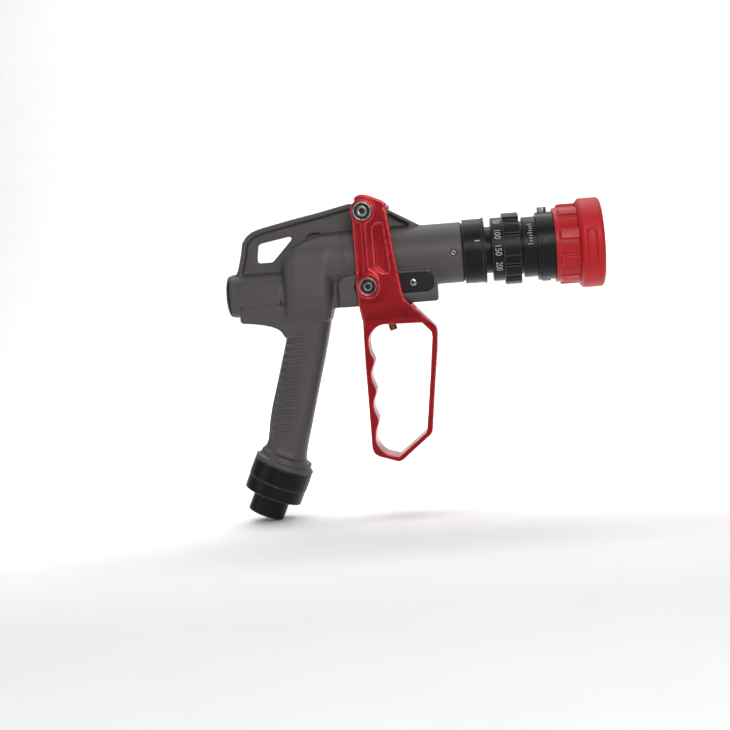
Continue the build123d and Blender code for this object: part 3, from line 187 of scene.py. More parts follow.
# %% Lever finish
def red_anodised_finish():
    """deep red over bright metal, pale along the bevelled edges, with faint tool lines"""
    material, tree, shader, place = new_finish("aluminium_machined_red_anodised")
    clouds = node(tree, "ShaderNodeTexNoise", {"Vector": place, "Scale": per(14), "Detail": 4.0})
    marks = node(tree, "ShaderNodeTexNoise", {"Vector": place, "Scale": per(0.8), "Detail": 5.0})
    tone = node(tree, "ShaderNodeMix", {0: clouds.outputs[0], MIX_A: linear("#80000a"),
                                        MIX_B: linear("#9c0010")}, data_type="RGBA")
    edge = node(tree, "ShaderNodeAttribute", attribute_name="edge_wear")
    broken = node(tree, "ShaderNodeMapRange", {0: marks.outputs[0], 1: 0.3, 2: 0.6, 3: 0.25, 4: 0.9})
    rubbed = node(tree, "ShaderNodeMath", {0: edge.outputs["Fac"], 1: broken.outputs[0]},
                  operation="MULTIPLY")
    worn = node(tree, "ShaderNodeMix", {0: rubbed.outputs[0], MIX_A: tone.outputs[MIX_COLOUR],
                                        MIX_B: linear("#c8404a")}, data_type="RGBA")
    sheen = node(tree, "ShaderNodeMapRange", {0: clouds.outputs[0], 1: 0.3, 2: 0.7, 3: 0.26, 4: 0.38})
    bump = node(tree, "ShaderNodeBump", {"Height": marks.outputs[0], "Strength": 0.12,
                                         "Distance": 0.05 * MM})
    tree.links.new(worn.outputs[MIX_COLOUR], shader.inputs["Base Color"])
    tree.links.new(sheen.outputs[0], shader.inputs["Roughness"])
    tree.links.new(bump.outputs[0], shader.inputs["Normal"])
    shader.inputs["Metallic"].default_value = 0.55
    return material


RED_LEVER = red_anodised_finish()
print("made", RED_LEVER.name)

# %% [markdown]
# ## Rings: black anodised aluminium
# The rings are turned and black anodised. Turning leaves fine rings around the axis, which
# break the highlight into a satin line, and the sharp corners are rubbed to a dull grey.
# The lines are real every 0.2 mm; they are drawn 0.6 mm apart so that they show.

# %% Ring finish
DULL_SHINE = 0.3  # anodising and worn plastic reflect less than clean gloss, which is 0.5


def black_ring_finish(name, axis_turn):
    """satin black with turning lines around an axis and greyed edges"""
    material, tree, shader, place = new_finish(name)
    turned = node(tree, "ShaderNodeMapping", {"Vector": place, "Rotation": (0, axis_turn, 0)})
    lines = node(tree, "ShaderNodeTexWave", {"Vector": turned.outputs[0], "Scale": per(0.6) / 6.3,
                                             "Distortion": 0.4, "Detail": 2.0},
                 wave_type="BANDS", bands_direction="X")
    smudge = node(tree, "ShaderNodeTexNoise", {"Vector": place, "Scale": per(7), "Detail": 4.0})
    tone = node(tree, "ShaderNodeMix", {0: smudge.outputs[0], MIX_A: linear("#060607"),
                                        MIX_B: linear("#121213")}, data_type="RGBA")
    edge = node(tree, "ShaderNodeAttribute", attribute_name="edge_wear")
    rubbed = node(tree, "ShaderNodeMath", {0: edge.outputs["Fac"], 1: smudge.outputs[0]},
                  operation="MULTIPLY")
    worn = node(tree, "ShaderNodeMix", {0: rubbed.outputs[0], MIX_A: tone.outputs[MIX_COLOUR],
                                        MIX_B: linear("#5c5c5e")}, data_type="RGBA")
    sheen = node(tree, "ShaderNodeMapRange", {0: smudge.outputs[0], 1: 0.3, 2: 0.7, 3: 0.3, 4: 0.45})
    bump = node(tree, "ShaderNodeBump", {"Height": lines.outputs[1], "Strength": 0.12,
                                         "Distance": 0.03 * MM})
    tree.links.new(worn.outputs[MIX_COLOUR], shader.inputs["Base Color"])
    tree.links.new(sheen.outputs[0], shader.inputs["Roughness"])
    tree.links.new(bump.outputs[0], shader.inputs["Normal"])
    shader.inputs["Metallic"].default_value = 0.4
    shader.inputs["Specular IOR Level"].default_value = DULL_SHINE
    return material


BLACK_RING = black_ring_finish("aluminium_turned_black_anodised", 0.0)
BLACK_INLET = black_ring_finish("aluminium_turned_black_anodised_inlet", radians(90 - INLET_TILT))
print("made", BLACK_RING.name, "and", BLACK_INLET.name)

# %% [markdown]
# ## Moulded and turned small parts
# The pattern sleeve is glossy moulded nylon and the bumper softer cast urethane, both red
# through and through. Screws are bright turned stainless steel, the stop and the valve parts
# are brass dulled by handling, covers are moulded acetal, seals are nitrile rubber, and the
# numerals are a matt white ink. They share one recipe: two tones, a grain and a roughness.

# %% Small part finishes
def plain_finish(name, dark, light, tone_mm, grain_mm, bump_mm, rough, metallic=0.0, edge=None):
    """two tones in clouds, a grain for the bump and a roughness between two values"""
    material, tree, shader, place = new_finish(name)
    clouds = node(tree, "ShaderNodeTexNoise", {"Vector": place, "Scale": per(tone_mm), "Detail": 3.0})
    grain = node(tree, "ShaderNodeTexNoise", {"Vector": place, "Scale": per(grain_mm), "Detail": 3.0})
    tone = node(tree, "ShaderNodeMix", {0: clouds.outputs[0], MIX_A: linear(dark),
                                        MIX_B: linear(light)}, data_type="RGBA")
    colour = tone.outputs[MIX_COLOUR]
    if edge:
        rim = node(tree, "ShaderNodeAttribute", attribute_name="edge_wear")
        rubbed = node(tree, "ShaderNodeMath", {0: rim.outputs["Fac"], 1: clouds.outputs[0]},
                      operation="MULTIPLY")
        colour = node(tree, "ShaderNodeMix", {0: rubbed.outputs[0], MIX_A: colour,
                                              MIX_B: linear(edge)}, data_type="RGBA").outputs[MIX_COLOUR]
    sheen = node(tree, "ShaderNodeMapRange", {0: clouds.outputs[0], 1: 0.3, 2: 0.7, 3: rough[0],
                                              4: rough[1]})
    bump = node(tree, "ShaderNodeBump", {"Height": grain.outputs[0], "Strength": 0.3,
                                         "Distance": bump_mm * MM})
    tree.links.new(colour, shader.inputs["Base Color"])
    tree.links.new(sheen.outputs[0], shader.inputs["Roughness"])
    tree.links.new(bump.outputs[0], shader.inputs["Normal"])
    shader.inputs["Metallic"].default_value = metallic
    if metallic == 0:
        shader.inputs["Specular IOR Level"].default_value = DULL_SHINE
    return material


# glossy moulded skin with a faint orange peel
RED_NYLON = plain_finish("nylon_moulded_red", "#98000b", "#b00814", 18, 1.2, 0.03, (0.3, 0.42),
                         edge="#c84449")
# softer, slightly chalky skin that scatters light
RED_URETHANE = plain_finish("urethane_cast_red", "#a60a12", "#b41018", 22, 0.8, 0.06, (0.42, 0.55),
                            edge="#c84446")
# bright metal with a fine turned grain
STAINLESS = plain_finish("stainless_steel_turned", "#7d7d7b", "#a9a9a6", 2.5, 0.3, 0.02, (0.2, 0.32),
                         metallic=1.0)
# brass gone brown where hands and water reach it
DULL_BRASS = plain_finish("brass_turned_dulled", "#6d5334", "#a5814c", 4, 0.5, 0.03, (0.35, 0.5),
                          metallic=1.0)
# painted shade: near-black and nearly dead matt, for the discs and rings laid at the bottom of sockets
# and recesses
SHADE_BLACK = plain_finish("painted_shade_matt_black", "#1a1a1b", "#2c2c2d", 3, 0.4, 0.02, (0.4, 0.55),
                           metallic=0.6)
# moulded acetal with a slight gloss and a moulding grain
BLACK_ACETAL = plain_finish("acetal_moulded_black", "#08090a", "#101113", 9, 0.5, 0.02, (0.3, 0.4))
# matt black seal rubber
NITRILE = plain_finish("nitrile_rubber_moulded", "#0d0d0d", "#1a1a1a", 4, 0.3, 0.03, (0.6, 0.75))
# thin screen-printed ink, slightly worn
WHITE_INK = plain_finish("ink_screen_printed_white", "#8f8e89", "#b9b8b3", 1.5, 0.3, 0.01, (0.5, 0.65))
FINISH_OF_SLOT = {
    "cast_grey": CAST_BODY, "black_anodised": BLACK_RING, "red_anodised": RED_LEVER,
    "red_rubber": RED_URETHANE, "red_moulded": RED_NYLON, "stainless": STAINLESS,
    "brass_fitting": DULL_BRASS, "seal_rubber": NITRILE, "black_plastic": BLACK_ACETAL,
}
print("finishes for", len(FINISH_OF_SLOT), "material slots")

# %% [markdown]
# ## CAD nodes that stay
# Seals, springs, the valve and other inner parts keep their CAD meshes, whose shapes are
# right. Each takes the finish of its slot in the record.

# %% Finishes on the CAD nodes
SLOT_OF_NODE = {p["node"]: p["material_slot"] for p in frame["record"]["subparts"]}
for name, cad_object in frame["nodes"].items():
    cad_object.data.materials.clear()
    cad_object.data.materials.append(FINISH_OF_SLOT[SLOT_OF_NODE[name]])
print("dressed", len(frame["nodes"]), "CAD nodes")


# %% [markdown]
# ## Finishing a piece
# Each new piece goes the same way. Sharp edges get a small bevel, because nothing real has a
# perfectly sharp corner and only a bevel catches the light, and the bevel's faces are marked
# as worn. The mesh is then put into place, and it rides on its CAD body.

# %% Finish a piece
CREASE = radians(28)


def bevel_creases(bm, width, segments=2, angle=CREASE):
    """rounds every edge sharper than the angle, and marks the new faces as worn"""
    wear = bm.faces.layers.float.get("edge_wear") or bm.faces.layers.float.new("edge_wear")
    bm.normal_update()
    creases = [e for e in bm.edges if len(e.link_faces) == 2 and e.calc_face_angle(0) > angle]
    made = bmesh.ops.bevel(bm, geom=creases, offset=width, offset_type="OFFSET", affect="EDGES",
                           segments=segments, profile=0.5, material=-1, clamp_overlap=False)
    for face in made["faces"]:
        face[wear] = 1.0


def place_piece(name, bm, place, body, slot, material=None, replaces=()):
    """turns a bmesh into a piece in the frame, riding on its body"""
    bm.transform(place)
    bmesh.ops.recalc_face_normals(bm, faces=bm.faces)
    mesh = bpy.data.meshes.new(name)
    bm.to_mesh(mesh)
    bm.free()
    mesh.shade_smooth()
    mesh.set_sharp_from_angle(angle=radians(50))
    piece = bpy.data.objects.new(name, mesh)
    bpy.context.scene.collection.objects.link(piece)
    mesh.materials.append(material or FINISH_OF_SLOT[slot])
    weighted = piece.modifiers.new("even shading", "WEIGHTED_NORMAL")
    weighted.keep_sharp = True
    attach(piece, body)
    if replaces:
        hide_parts(*replaces)
    print(name, len(mesh.polygons), "faces")


# %% [markdown]
# ## Lathe work
# Nearly every part in front of the body is turned. Its half section is a closed line of
# (station, radius) points, and spin sweeps that line round the axis. A part that isn't quite
# round, such as a ring with finger lugs or a screw with a hexagonal socket, is spun the same
# way, and a small function then pulls each point to its own radius.

# %% Lathe
def lathe(points, steps=96, shape=None, start=0.0, bevel=0.3):
    """spins a closed half section; shape(angle in degrees, station, radius) gives a radius"""
    bm = bmesh.new()
    corners = [bm.verts.new((x, r * cos(radians(start)), r * sin(radians(start)))) for x, r in points]
    for a, b in zip(corners, corners[1:] + corners[:1]):
        bm.edges.new((a, b))
    bmesh.ops.spin(bm, geom=bm.verts[:] + bm.edges[:], cent=(0, 0, 0), axis=(1, 0, 0),
                   angle=2 * pi, steps=steps, use_merge=True)
    bmesh.ops.remove_doubles(bm, verts=bm.verts, dist=0.001)
    if shape:
        for v in bm.verts:
            radius = hypot(v.co.y, v.co.z)
            if radius > 0.01:
                angle = round((atan2(v.co.z, v.co.y) * 180 / pi) % 360, 3) % 360
                pull = shape(angle, v.co.x, radius) / radius
                v.co.y *= pull
                v.co.z *= pull
    bmesh.ops.recalc_face_normals(bm, faces=bm.faces)
    if bevel:
        bevel_creases(bm, bevel)
    return bm


# %% [markdown]
# ## Head stem and outer barrel
# The stem is the tube that the flow ring turns on, with a wide collar against the body. The
# outer barrel follows the flow ring. Both are plain turned parts, so the section is all.

# %% Head stem and outer barrel
STEM_SECTION = [
    (-30, 15), (-30, 24), (-26.4, 24), (-26.4, 21.8), (-23.4, 21.8), (-23.4, 24), (-10.5, 24),
    (-10.5, 27.2), (-9.6, 27.2), (-9.6, 30.3), (7.6, 30.3), (7.6, 29.9), (8.3, 29.9), (8.3, 31),
    (10.8, 31), (10.8, 22), (60, 22), (60, 15),
]
place_piece("head_stem_turned", lathe(STEM_SECTION, 120), ON_BARREL, "body", "black_anodised",
            replaces=["head_stem"])
BARREL_SECTION = [
    (44, 22), (44, 25), (46.5, 25), (46.5, 28.5), (59.1, 28.5), (59.1, 26), (64.1, 26),
    (64.1, 24.2), (68.9, 24.2), (68.9, 26), (91.5, 26), (91.5, 23.8), (94.3, 23.8), (94.3, 26),
    (97, 26), (97, 22.5), (90, 19.5), (64, 19.5), (60, 22),
]
place_piece("outer_barrel_turned", lathe(BARREL_SECTION, 120), ON_BARREL, "body",
            "black_anodised", replaces=["outer_barrel"])

# %% [markdown]
# ## Flow ring
# Ten square lugs give a wet glove something to turn. The ring is spun at the lugs' full
# radius, and every point between two lugs is then pulled in to the bottom of the gap.

# %% Flow ring
LEFT_SIDE = 180.0


def lugs(count, width, middle, gap):
    """shape of a ring whose rim is cut back to the gap radius between its lugs"""
    def shape(angle, station, radius):
        pitch = 360 / count
        off = (angle - middle + pitch / 2) % pitch - pitch / 2
        return min(radius, gap) if abs(off) > width / 2 + 0.01 and radius > gap else radius
    return shape


FLOW_SECTION = [
    (17, 22.1), (17, 30), (28, 30), (28, 34), (43.4, 34), (43.4, 22.1),
]
FLOW_STEPS = 240
FLOW_LUGS, FLOW_LUG_ARC, FLOW_GAP_R = 10, 18, 31
flow_middle = LEFT_SIDE + 3
flow_ring = lathe(FLOW_SECTION, FLOW_STEPS, lugs(FLOW_LUGS, FLOW_LUG_ARC, flow_middle, FLOW_GAP_R),
                  start=flow_middle + FLOW_LUG_ARC / 2, bevel=0.45)
place_piece("flow_ring_lugged", flow_ring, ON_BARREL, "flow_selector", "black_anodised",
            replaces=["flow_ring"])

# %% [markdown]
# ## Drive collar
# The collar turns the sleeve through three tongues that slide in its keyways.

# %% Drive collar
COLLAR_SECTION = [
    (59.4, 26.1), (59.4, 32), (75.5, 32), (75.5, 29.2), (75.5, 26.1),
]
place_piece("drive_collar_turned", lathe(COLLAR_SECTION, 120), ON_BARREL, "pattern_drive",
            "black_anodised", replaces=["drive_collar"])

# %% [markdown]
# ## Pattern sleeve
# Nine narrow lugs stand on a moulded sleeve behind the bumper, and a flange closes it.

# %% Pattern sleeve
SLEEVE_SECTION = [
    (75.8, 26.1), (75.8, 35), (79, 35), (79, 35.6), (81.2, 38), (97.5, 38), (97.5, 36),
    (117.5, 36), (117.5, 34), (101, 29.5), (98.5, 27.5), (98.5, 26.1),
]
SLEEVE_LUGS, SLEEVE_LUG_ARC, SLEEVE_GAP_R = 9, 13.75, 35.5
sleeve_middle = LEFT_SIDE - 14.2
sleeve = lathe(SLEEVE_SECTION, 288,
               lugs(SLEEVE_LUGS, SLEEVE_LUG_ARC, sleeve_middle, SLEEVE_GAP_R),
               start=sleeve_middle + SLEEVE_LUG_ARC / 2, bevel=0.35)
place_piece("pattern_sleeve_lugged", sleeve, ON_BARREL, "pattern_sleeve_body", "red_moulded",
            replaces=["pattern_sleeve"])

# %% [markdown]
# ## Bumper
# A thick urethane ring guards the mouth. Three long shallow thumb recesses are moulded into
# its rim. The section is divided finely there, so that points can be pushed in to a recess.

# %% Bumper
RECESS_DEPTH = 1.6
RECESS_STATION = 108.6
RECESS_HALF_HIGH = 4.3
RECESS_HALF_LONG = 18.4
RECESS_MIDDLE = LEFT_SIDE + 7.3
RECESS_EDGE = 1.4
BUMPER_R = 42.2
RIM_R = 42.0


def thumb_recess(angle, station, radius):
    """pushes the rim in over three obrounds, with a soft edge"""
    if radius < RIM_R:
        return radius
    off = (angle - RECESS_MIDDLE + 60) % 120 - 60
    along = abs(radians(off) * BUMPER_R)
    past_end = max(along - (RECESS_HALF_LONG - RECESS_HALF_HIGH), 0)
    outside = hypot(past_end, station - RECESS_STATION) - RECESS_HALF_HIGH
    share = min(max(0.5 - outside / RECESS_EDGE, 0), 1)
    return radius - RECESS_DEPTH * share * share * (3 - 2 * share)


rim_stations = [101.6 + 0.7 * k for k in range(23)]
BUMPER_SECTION = [(97.6, 36), (97.6, 38), (98.4, 39.4), (99.9, 41.3), (100.5, 41.9)] \
    + [(x, BUMPER_R) for x in rim_stations] \
    + [(118.2, 42.0), (119.3, 41.4), (120.1, 40.4), (120.5, 39.2), (120.5, 37.8), (120.1, 36.6),
       (119.5, 36.2), (117.5, 36.2), (117.5, 36)]
place_piece("bumper_ring", lathe(BUMPER_SECTION, 288, thumb_recess, bevel=0), ON_BARREL,
            "pattern_sleeve_body", "red_rubber", replaces=["bumper"])

# %% [markdown]
# ## Inlet swivel
# The two swivel collars and the threaded stub are turned on the leaning inlet axis.

# %% Inlet swivel
COLLAR_UPPER = [
    (48.5, 19.05), (48.5, 28.3), (32.6, 28.3), (32.6, 24), (22, 24), (22, 19.1), (34, 19.1),
    (34, 19.05),
]
place_piece("inlet_collar_turned", lathe(COLLAR_UPPER, 120, bevel=0.5), ON_INLET, "body",
            "black_anodised", BLACK_INLET, replaces=["inlet_collar"])
COLLAR_LOWER = [(19, 17.35), (19, 27.8), (32.2, 27.8), (32.2, 24.1), (21.6, 24.1), (21.6, 17.35)]
place_piece("swivel_collar_turned", lathe(COLLAR_LOWER, 120, bevel=1.0), ON_INLET,
            "inlet_swivel", "black_anodised", BLACK_INLET, replaces=["swivel_collar"])
STUB_SECTION = [
    (0, 13.2), (0, 17.3), (21.6, 17.3), (21.8, 19), (28.4, 19), (28.4, 17.6), (30.6, 17.6),
    (30.6, 19), (33.2, 19), (33.2, 12), (19.6, 12), (19.6, 9.8), (18, 9.8), (18, 12.6), (16, 12.6),
    (16, 13.2),
]
place_piece("inlet_stub_turned", lathe(STUB_SECTION, 96, bevel=0.5), ON_INLET, "inlet_swivel",
            "black_anodised", BLACK_INLET, replaces=["inlet_stub"])

# %% [markdown]
# ## Cast body
# The casting has no sharp edge anywhere: metal shrinks and the mould's corners are round.
# Its CAD mesh is copied and merged, and a voxel remesh lays an even net over it that rounds
# each corner by about a millimetre. A little smoothing then takes out the steps.

# %% Cast body
VOXEL = 1.15 * MM


def merged_copy(*node_names):
    """one bmesh with the merged copies of CAD nodes, in the frame"""
    bm = bmesh.new()
    for node_name in node_names:
        bm.from_mesh(frame["nodes"][node_name].data)
    bmesh.ops.remove_doubles(bm, verts=bm.verts, dist=1e-6)
    return bm


def remeshed(bm, voxel):
    """the same shape as an even net of quads"""
    mesh = bpy.data.meshes.new("remesh_source")
    bm.to_mesh(mesh)
    bm.free()
    source = bpy.data.objects.new("remesh_source", mesh)
    bpy.context.scene.collection.objects.link(source)
    remesh = source.modifiers.new("even net", "REMESH")
    remesh.mode = "VOXEL"
    remesh.voxel_size = voxel
    depsgraph = bpy.context.evaluated_depsgraph_get()
    result = bpy.data.meshes.new_from_object(source.evaluated_get(depsgraph))
    made = bmesh.new()
    made.from_mesh(result)
    bpy.data.objects.remove(source)
    bpy.data.meshes.remove(mesh)
    bpy.data.meshes.remove(result)
    return made


HOUSING_NODES = [name for name in frame["nodes"] if name.startswith("housing")]
body_net = remeshed(merged_copy(*HOUSING_NODES), VOXEL)
for _ in range(2):
    bmesh.ops.smooth_vert(body_net, verts=body_net.verts, factor=0.5, use_axis_x=True,
                          use_axis_y=True, use_axis_z=True)
body_surface = BVHTree.FromBMesh(body_net)
place_piece("body_casting", body_net, Matrix.Identity(4), "body", "cast_grey",
            replaces=HOUSING_NODES)

# %% [markdown]
# ## Grip ribs
# Fifteen slim raised loops on each side of the grip stop it slipping. Each is a strip of
# faces pressed onto the cast surface from the side, raised in the middle and sunk at its rim.
# Front and rear ends follow the grip, which leans back as it goes down.

# %% Grip ribs
RIB_COUNT = 15
RIB_PITCH = 6.65
RIB_TOP = -67.4
RIB_HALF = 1.5
RIB_RISE = 0.75
RIB_FRONT, FRONT_LEAN = -160.5, 0.255
RIB_REAR, REAR_LEAN = -181.0, 0.262
RIB_SINK = 0.6


def grip_ribs(side):
    """the ribs of one side as strips laid on the grip"""
    bm = bmesh.new()
    for k in range(RIB_COUNT):
        height = RIB_TOP - k * RIB_PITCH
        front = RIB_FRONT - FRONT_LEAN * (RIB_TOP - height)
        rear = RIB_REAR - REAR_LEAN * (RIB_TOP - height)
        strip = bmesh.ops.create_grid(bm, x_segments=34, y_segments=6, size=1.0)
        for v in strip["verts"]:
            u, w = v.co.x, v.co.y
            station = (front + rear) / 2 + u * (front - rear) / 2
            end = max(abs(u) * (front - rear) / 2 - (front - rear) / 2 + RIB_HALF, 0)
            reach = RIB_HALF * (1 - (end / RIB_HALF) ** 2) ** 0.5 if end < RIB_HALF else 0.0
            spot = ON_BARREL @ Vector((station, side * 60, height + w * reach))
            hit, normal, _, _ = body_surface.ray_cast(spot, Vector((0, -side, 0)))
            level = min(max(1.6 - 1.9 * max(abs(w), end / RIB_HALF), -RIB_SINK), 1) * RIB_RISE
            v.co = hit + normal * level * MM if hit else spot
    bmesh.ops.solidify(bm, geom=bm.faces[:], thickness=-RIB_SINK * MM)
    return bm


for side, side_name in ((-1, "left"), (1, "right")):
    place_piece(f"grip_ribs_{side_name}", grip_ribs(side), Matrix.Identity(4), "body", "cast_grey")

# %% [markdown]
# ## Lever
# The lever is a casting as well, so it gets the same even net as the body. The faces
# that turn sharply outwards are its edges: they are marked as worn, which the finish paints.

# %% Lever
LEVER_VOXEL = 0.9 * MM
WEAR_TURN = radians(13)


def mark_edges(bm, angle):
    """marks the faces beside every edge that turns outwards by more than the angle as worn"""
    wear = bm.faces.layers.float.new("edge_wear")
    bm.normal_update()
    for edge in bm.edges:
        if len(edge.link_faces) == 2 and edge.calc_face_angle_signed(0) > angle:
            for face in edge.link_faces:
                face[wear] = 1.0


lever_net = remeshed(merged_copy("lever_casting"), LEVER_VOXEL)
bmesh.ops.smooth_vert(lever_net, verts=lever_net.verts, factor=0.5, use_axis_x=True,
                      use_axis_y=True, use_axis_z=True)
mark_edges(lever_net, WEAR_TURN)
place_piece("lever_frame", lever_net, Matrix.Identity(4), "lever", "red_anodised",
            replaces=["lever_casting"])

# %% [markdown]
# ## Covers and rear cap
# These are machined, with flat faces. The flat faces of the CAD mesh are first joined back to
# single faces, and then every crease is bevelled.

# %% Covers and rear cap
def softened(node_name, width, angle=CREASE):
    """a merged copy of a CAD node whose flat faces are joined and whose edges are bevelled"""
    bm = merged_copy(node_name)
    bmesh.ops.dissolve_limit(bm, angle_limit=radians(0.6), verts=bm.verts, edges=bm.edges,
                             use_dissolve_boundaries=False)
    bevel_creases(bm, width * MM, angle=angle)
    return bm


for plate in ("slot_cover_left", "slot_cover_right"):
    place_piece(plate + "_plate", softened(plate, 0.35), Matrix.Identity(4), "body",
                "black_plastic", replaces=[plate])
place_piece("rear_cap_turned", softened("rear_cap", 0.4), Matrix.Identity(4), "body",
            "black_anodised", replaces=["rear_cap"])

# %% [markdown]
# ## Screws
# Every screw is one lathe section with a hexagonal socket: the points inside the socket's
# radius are pulled to a hexagon. A black disc lies at the bottom of each socket, where a real
# one is too deep for the light to reach.

# %% Screws
def hexagon(corner_r):
    """shape that pulls points of the socket to a hexagon and leaves the rest round"""
    def shape(angle, station, radius):
        if radius > corner_r + 0.05:
            return radius
        off = (angle % 60) - 30
        return radius * cos(radians(30)) / cos(radians(off))
    return shape


PIVOT = (-100.3, 44.0)
DRIVE = (-100.2, -25.5)
COVER_SCREW = (-58.6, -24.9)
BARREL_SET = (-19.2, -0.3)
CHEEK_FACE = 36.4


def join_part(whole, part, place):
    """puts a part into place and adds it to the whole"""
    part.transform(place)
    carrier = bpy.data.meshes.new("part")
    part.to_mesh(carrier)
    part.free()
    whole.from_mesh(carrier)
    bpy.data.meshes.remove(carrier)


def screw_pair(name, centre, section, socket_r, body, material=STAINLESS, replaces=()):
    """the same turned part on the left and the right side, as one piece"""
    both = bmesh.new()
    for side in (-1, 1):
        one = lathe(section, 96, hexagon(socket_r) if socket_r else None, bevel=0.12)
        join_part(both, one, across(centre[0], centre[1], side))
    place_piece(name, both, Matrix.Identity(4), body, "stainless", material, replaces)


PIVOT_SECTION = [
    (22.5, 0), (22.5, 2.45), (CHEEK_FACE, 2.45), (CHEEK_FACE, 8.9), (38.1, 8.9), (38.7, 8.4),
    (38.7, 7.4), (38.1, 6.9), (36.9, 6.9), (36.9, 5.2), (39.2, 5.0), (40.0, 4.2), (40.0, 3.0),
    (37.2, 3.0), (37.2, 0),
]
screw_pair("pivot_screws_turned", PIVOT, PIVOT_SECTION, 3.0, "lever", replaces=["pivot_screws"])
# painted shade: black discs at the bottom of the pivot screws' hexagonal sockets
screw_pair("pivot_socket_shade_discs", PIVOT, [(36.9, 0), (36.9, 2.9), (37.5, 2.9), (37.5, 0)], 3.0,
           "lever", SHADE_BLACK)
# painted shade: a black ring laid at the bottom of the recess round each pivot screw head, not a real
# washer
PIVOT_RECESS_SHADE_SECTION = [(36.95, 5.25), (36.95, 6.85), (37.5, 6.85), (37.5, 5.25)]
screw_pair("pivot_recess_shade_rings", PIVOT, PIVOT_RECESS_SHADE_SECTION, 0, "lever", SHADE_BLACK)
DRIVE_SECTION = [
    (20.4, 0), (20.4, 1.95), (33.0, 1.95), (33.0, 4.3), (35.4, 4.3), (36.1, 3.7), (36.1, 2.9),
    (33.9, 2.9), (33.9, 0),
]
screw_pair("drive_screws_turned", DRIVE, DRIVE_SECTION, 2.9, "lever",
           replaces=["drive_pin_screws"])
# painted shade: black discs at the bottom of the drive screws' sockets
screw_pair("drive_socket_shade_discs", DRIVE, [(33.6, 0), (33.6, 2.8), (34.2, 2.8), (34.2, 0)], 2.9,
           "lever", SHADE_BLACK)
screw_pair("drive_cups", DRIVE, [(32.5, 2.0), (32.5, 4.1), (36.35, 7.95), (36.35, 7.6),
                                 (33.6, 4.9), (33.0, 4.4), (33.0, 2.0)], 0, "lever")
COVER_SCREW_SECTION = [
    (19.0, 0), (19.0, 1.95), (27.0, 1.95), (29.0, 3.0), (29.0, 3.7), (29.25, 3.7), (30.1, 2.9),
    (30.4, 1.45), (28.8, 1.45), (28.8, 0),
]
screw_pair("cover_screws_turned", COVER_SCREW, COVER_SCREW_SECTION, 1.45, "body",
           replaces=["slot_cover_screws"])
# painted shade: black discs at the bottom of the cover screws' sockets
screw_pair("cover_socket_shade_discs", COVER_SCREW, [(28.5, 0), (28.5, 1.4), (29.1, 1.4), (29.1, 0)],
           1.45, "body", SHADE_BLACK)

BARREL_SET_SECTION = [
    (22.8, 0), (22.8, 2.4), (27.7, 2.4), (28.1, 2.0), (28.1, 1.25), (26.8, 1.25), (26.8, 0),
]
barrel_set = lathe(BARREL_SET_SECTION, 96, hexagon(1.25), bevel=0.1)
place_piece("barrel_set_screw_turned", barrel_set, across(*BARREL_SET, -1), "body", "stainless",
            replaces=["barrel_set_screw"])
# painted shade: a black disc at the bottom of the set screw's socket
barrel_socket_shade_disc = lathe([(26.5, 0), (26.5, 1.2), (27.1, 1.2), (27.1, 0)], 96, hexagon(1.25), bevel=0)
place_piece("barrel_set_socket_shade_disc", barrel_socket_shade_disc, across(*BARREL_SET, -1), "body",
            "stainless", SHADE_BLACK)

# %% [markdown]
# ## Collar screws
# The top screw of the drive collar is a knurled cap head that serves as a thumb stop.

# %% Collar screws
SCREW_STATION = 66.5
HEAD_R = 4.4
KEY_R, KEY_DEPTH = 2.3, 1.6
KNURLS, KNURL_SHARE = 24, 0.03


def knurled(angle, station, radius):
    """a knurl on the head's side and a hexagon in its socket"""
    if radius <= KEY_R + 0.05:
        return hexagon(KEY_R)(angle, station, radius)
    if radius > HEAD_R - 0.2:
        return radius * (1 - KNURL_SHARE * (0.5 + 0.5 * cos(radians(angle * KNURLS))))
    return radius


collar_screws = bmesh.new()
for direction, head_top in ((1, 36.6), (-1, 33.2)):
    section = [(24.7, 0), (24.7, 2.05), (31.2, 2.05), (31.2, HEAD_R), (head_top - 0.4, HEAD_R),
               (head_top, 4.0), (head_top, KEY_R), (head_top - KEY_DEPTH, KEY_R),
               (head_top - KEY_DEPTH, 0)]
    join_part(collar_screws, lathe(section, 144, knurled, bevel=0), upright(SCREW_STATION, direction))
place_piece("collar_screws_knurled", collar_screws, Matrix.Identity(4), "pattern_drive",
            "stainless", replaces=["collar_screws"])

# %% [markdown]
# ## Numerals and marks
# The flow ring's settings are printed round its plain rear part. Text is made a mesh, cut
# across every millimetre so that it can bend, and wrapped on the ring.

# %% Numerals
def wrapped_print(name, text, angle, length):
    """a number printed on the flow ring: its digits stand along the axis, it reads downwards"""
    curve = bpy.data.curves.new(name, "FONT")
    curve.body = text
    holder = bpy.data.objects.new(name, curve)
    bpy.context.scene.collection.objects.link(holder)
    depsgraph = bpy.context.evaluated_depsgraph_get()
    flat = bpy.data.meshes.new_from_object(holder.evaluated_get(depsgraph))
    bpy.data.objects.remove(holder)
    bm = bmesh.new()
    bm.from_mesh(flat)
    bpy.data.meshes.remove(flat)
    bmesh.ops.remove_doubles(bm, verts=bm.verts, dist=1e-5)
    low = Vector((min(v.co.x for v in bm.verts), min(v.co.y for v in bm.verts)))
    high = Vector((max(v.co.x for v in bm.verts), max(v.co.y for v in bm.verts)))
    for v in bm.verts:
        v.co.x = (v.co.x - low.x) / (high.x - low.x) * length - length / 2
        v.co.y = (v.co.y - low.y) / (high.y - low.y) * NUMERAL_HEIGHT
    for k in range(1, int(length)):
        bmesh.ops.bisect_plane(bm, geom=bm.verts[:] + bm.edges[:] + bm.faces[:],
                               plane_co=(k - length / 2, 0, 0), plane_no=(1, 0, 0))
    print_wrap(bm, NUMERAL_RING_R, NUMERAL_STATION, angle)
    place_piece(name, bm, ON_BARREL, "flow_selector", "black_anodised", WHITE_INK)


INK_THICKNESS, INK_SINK = 0.1, 0.05


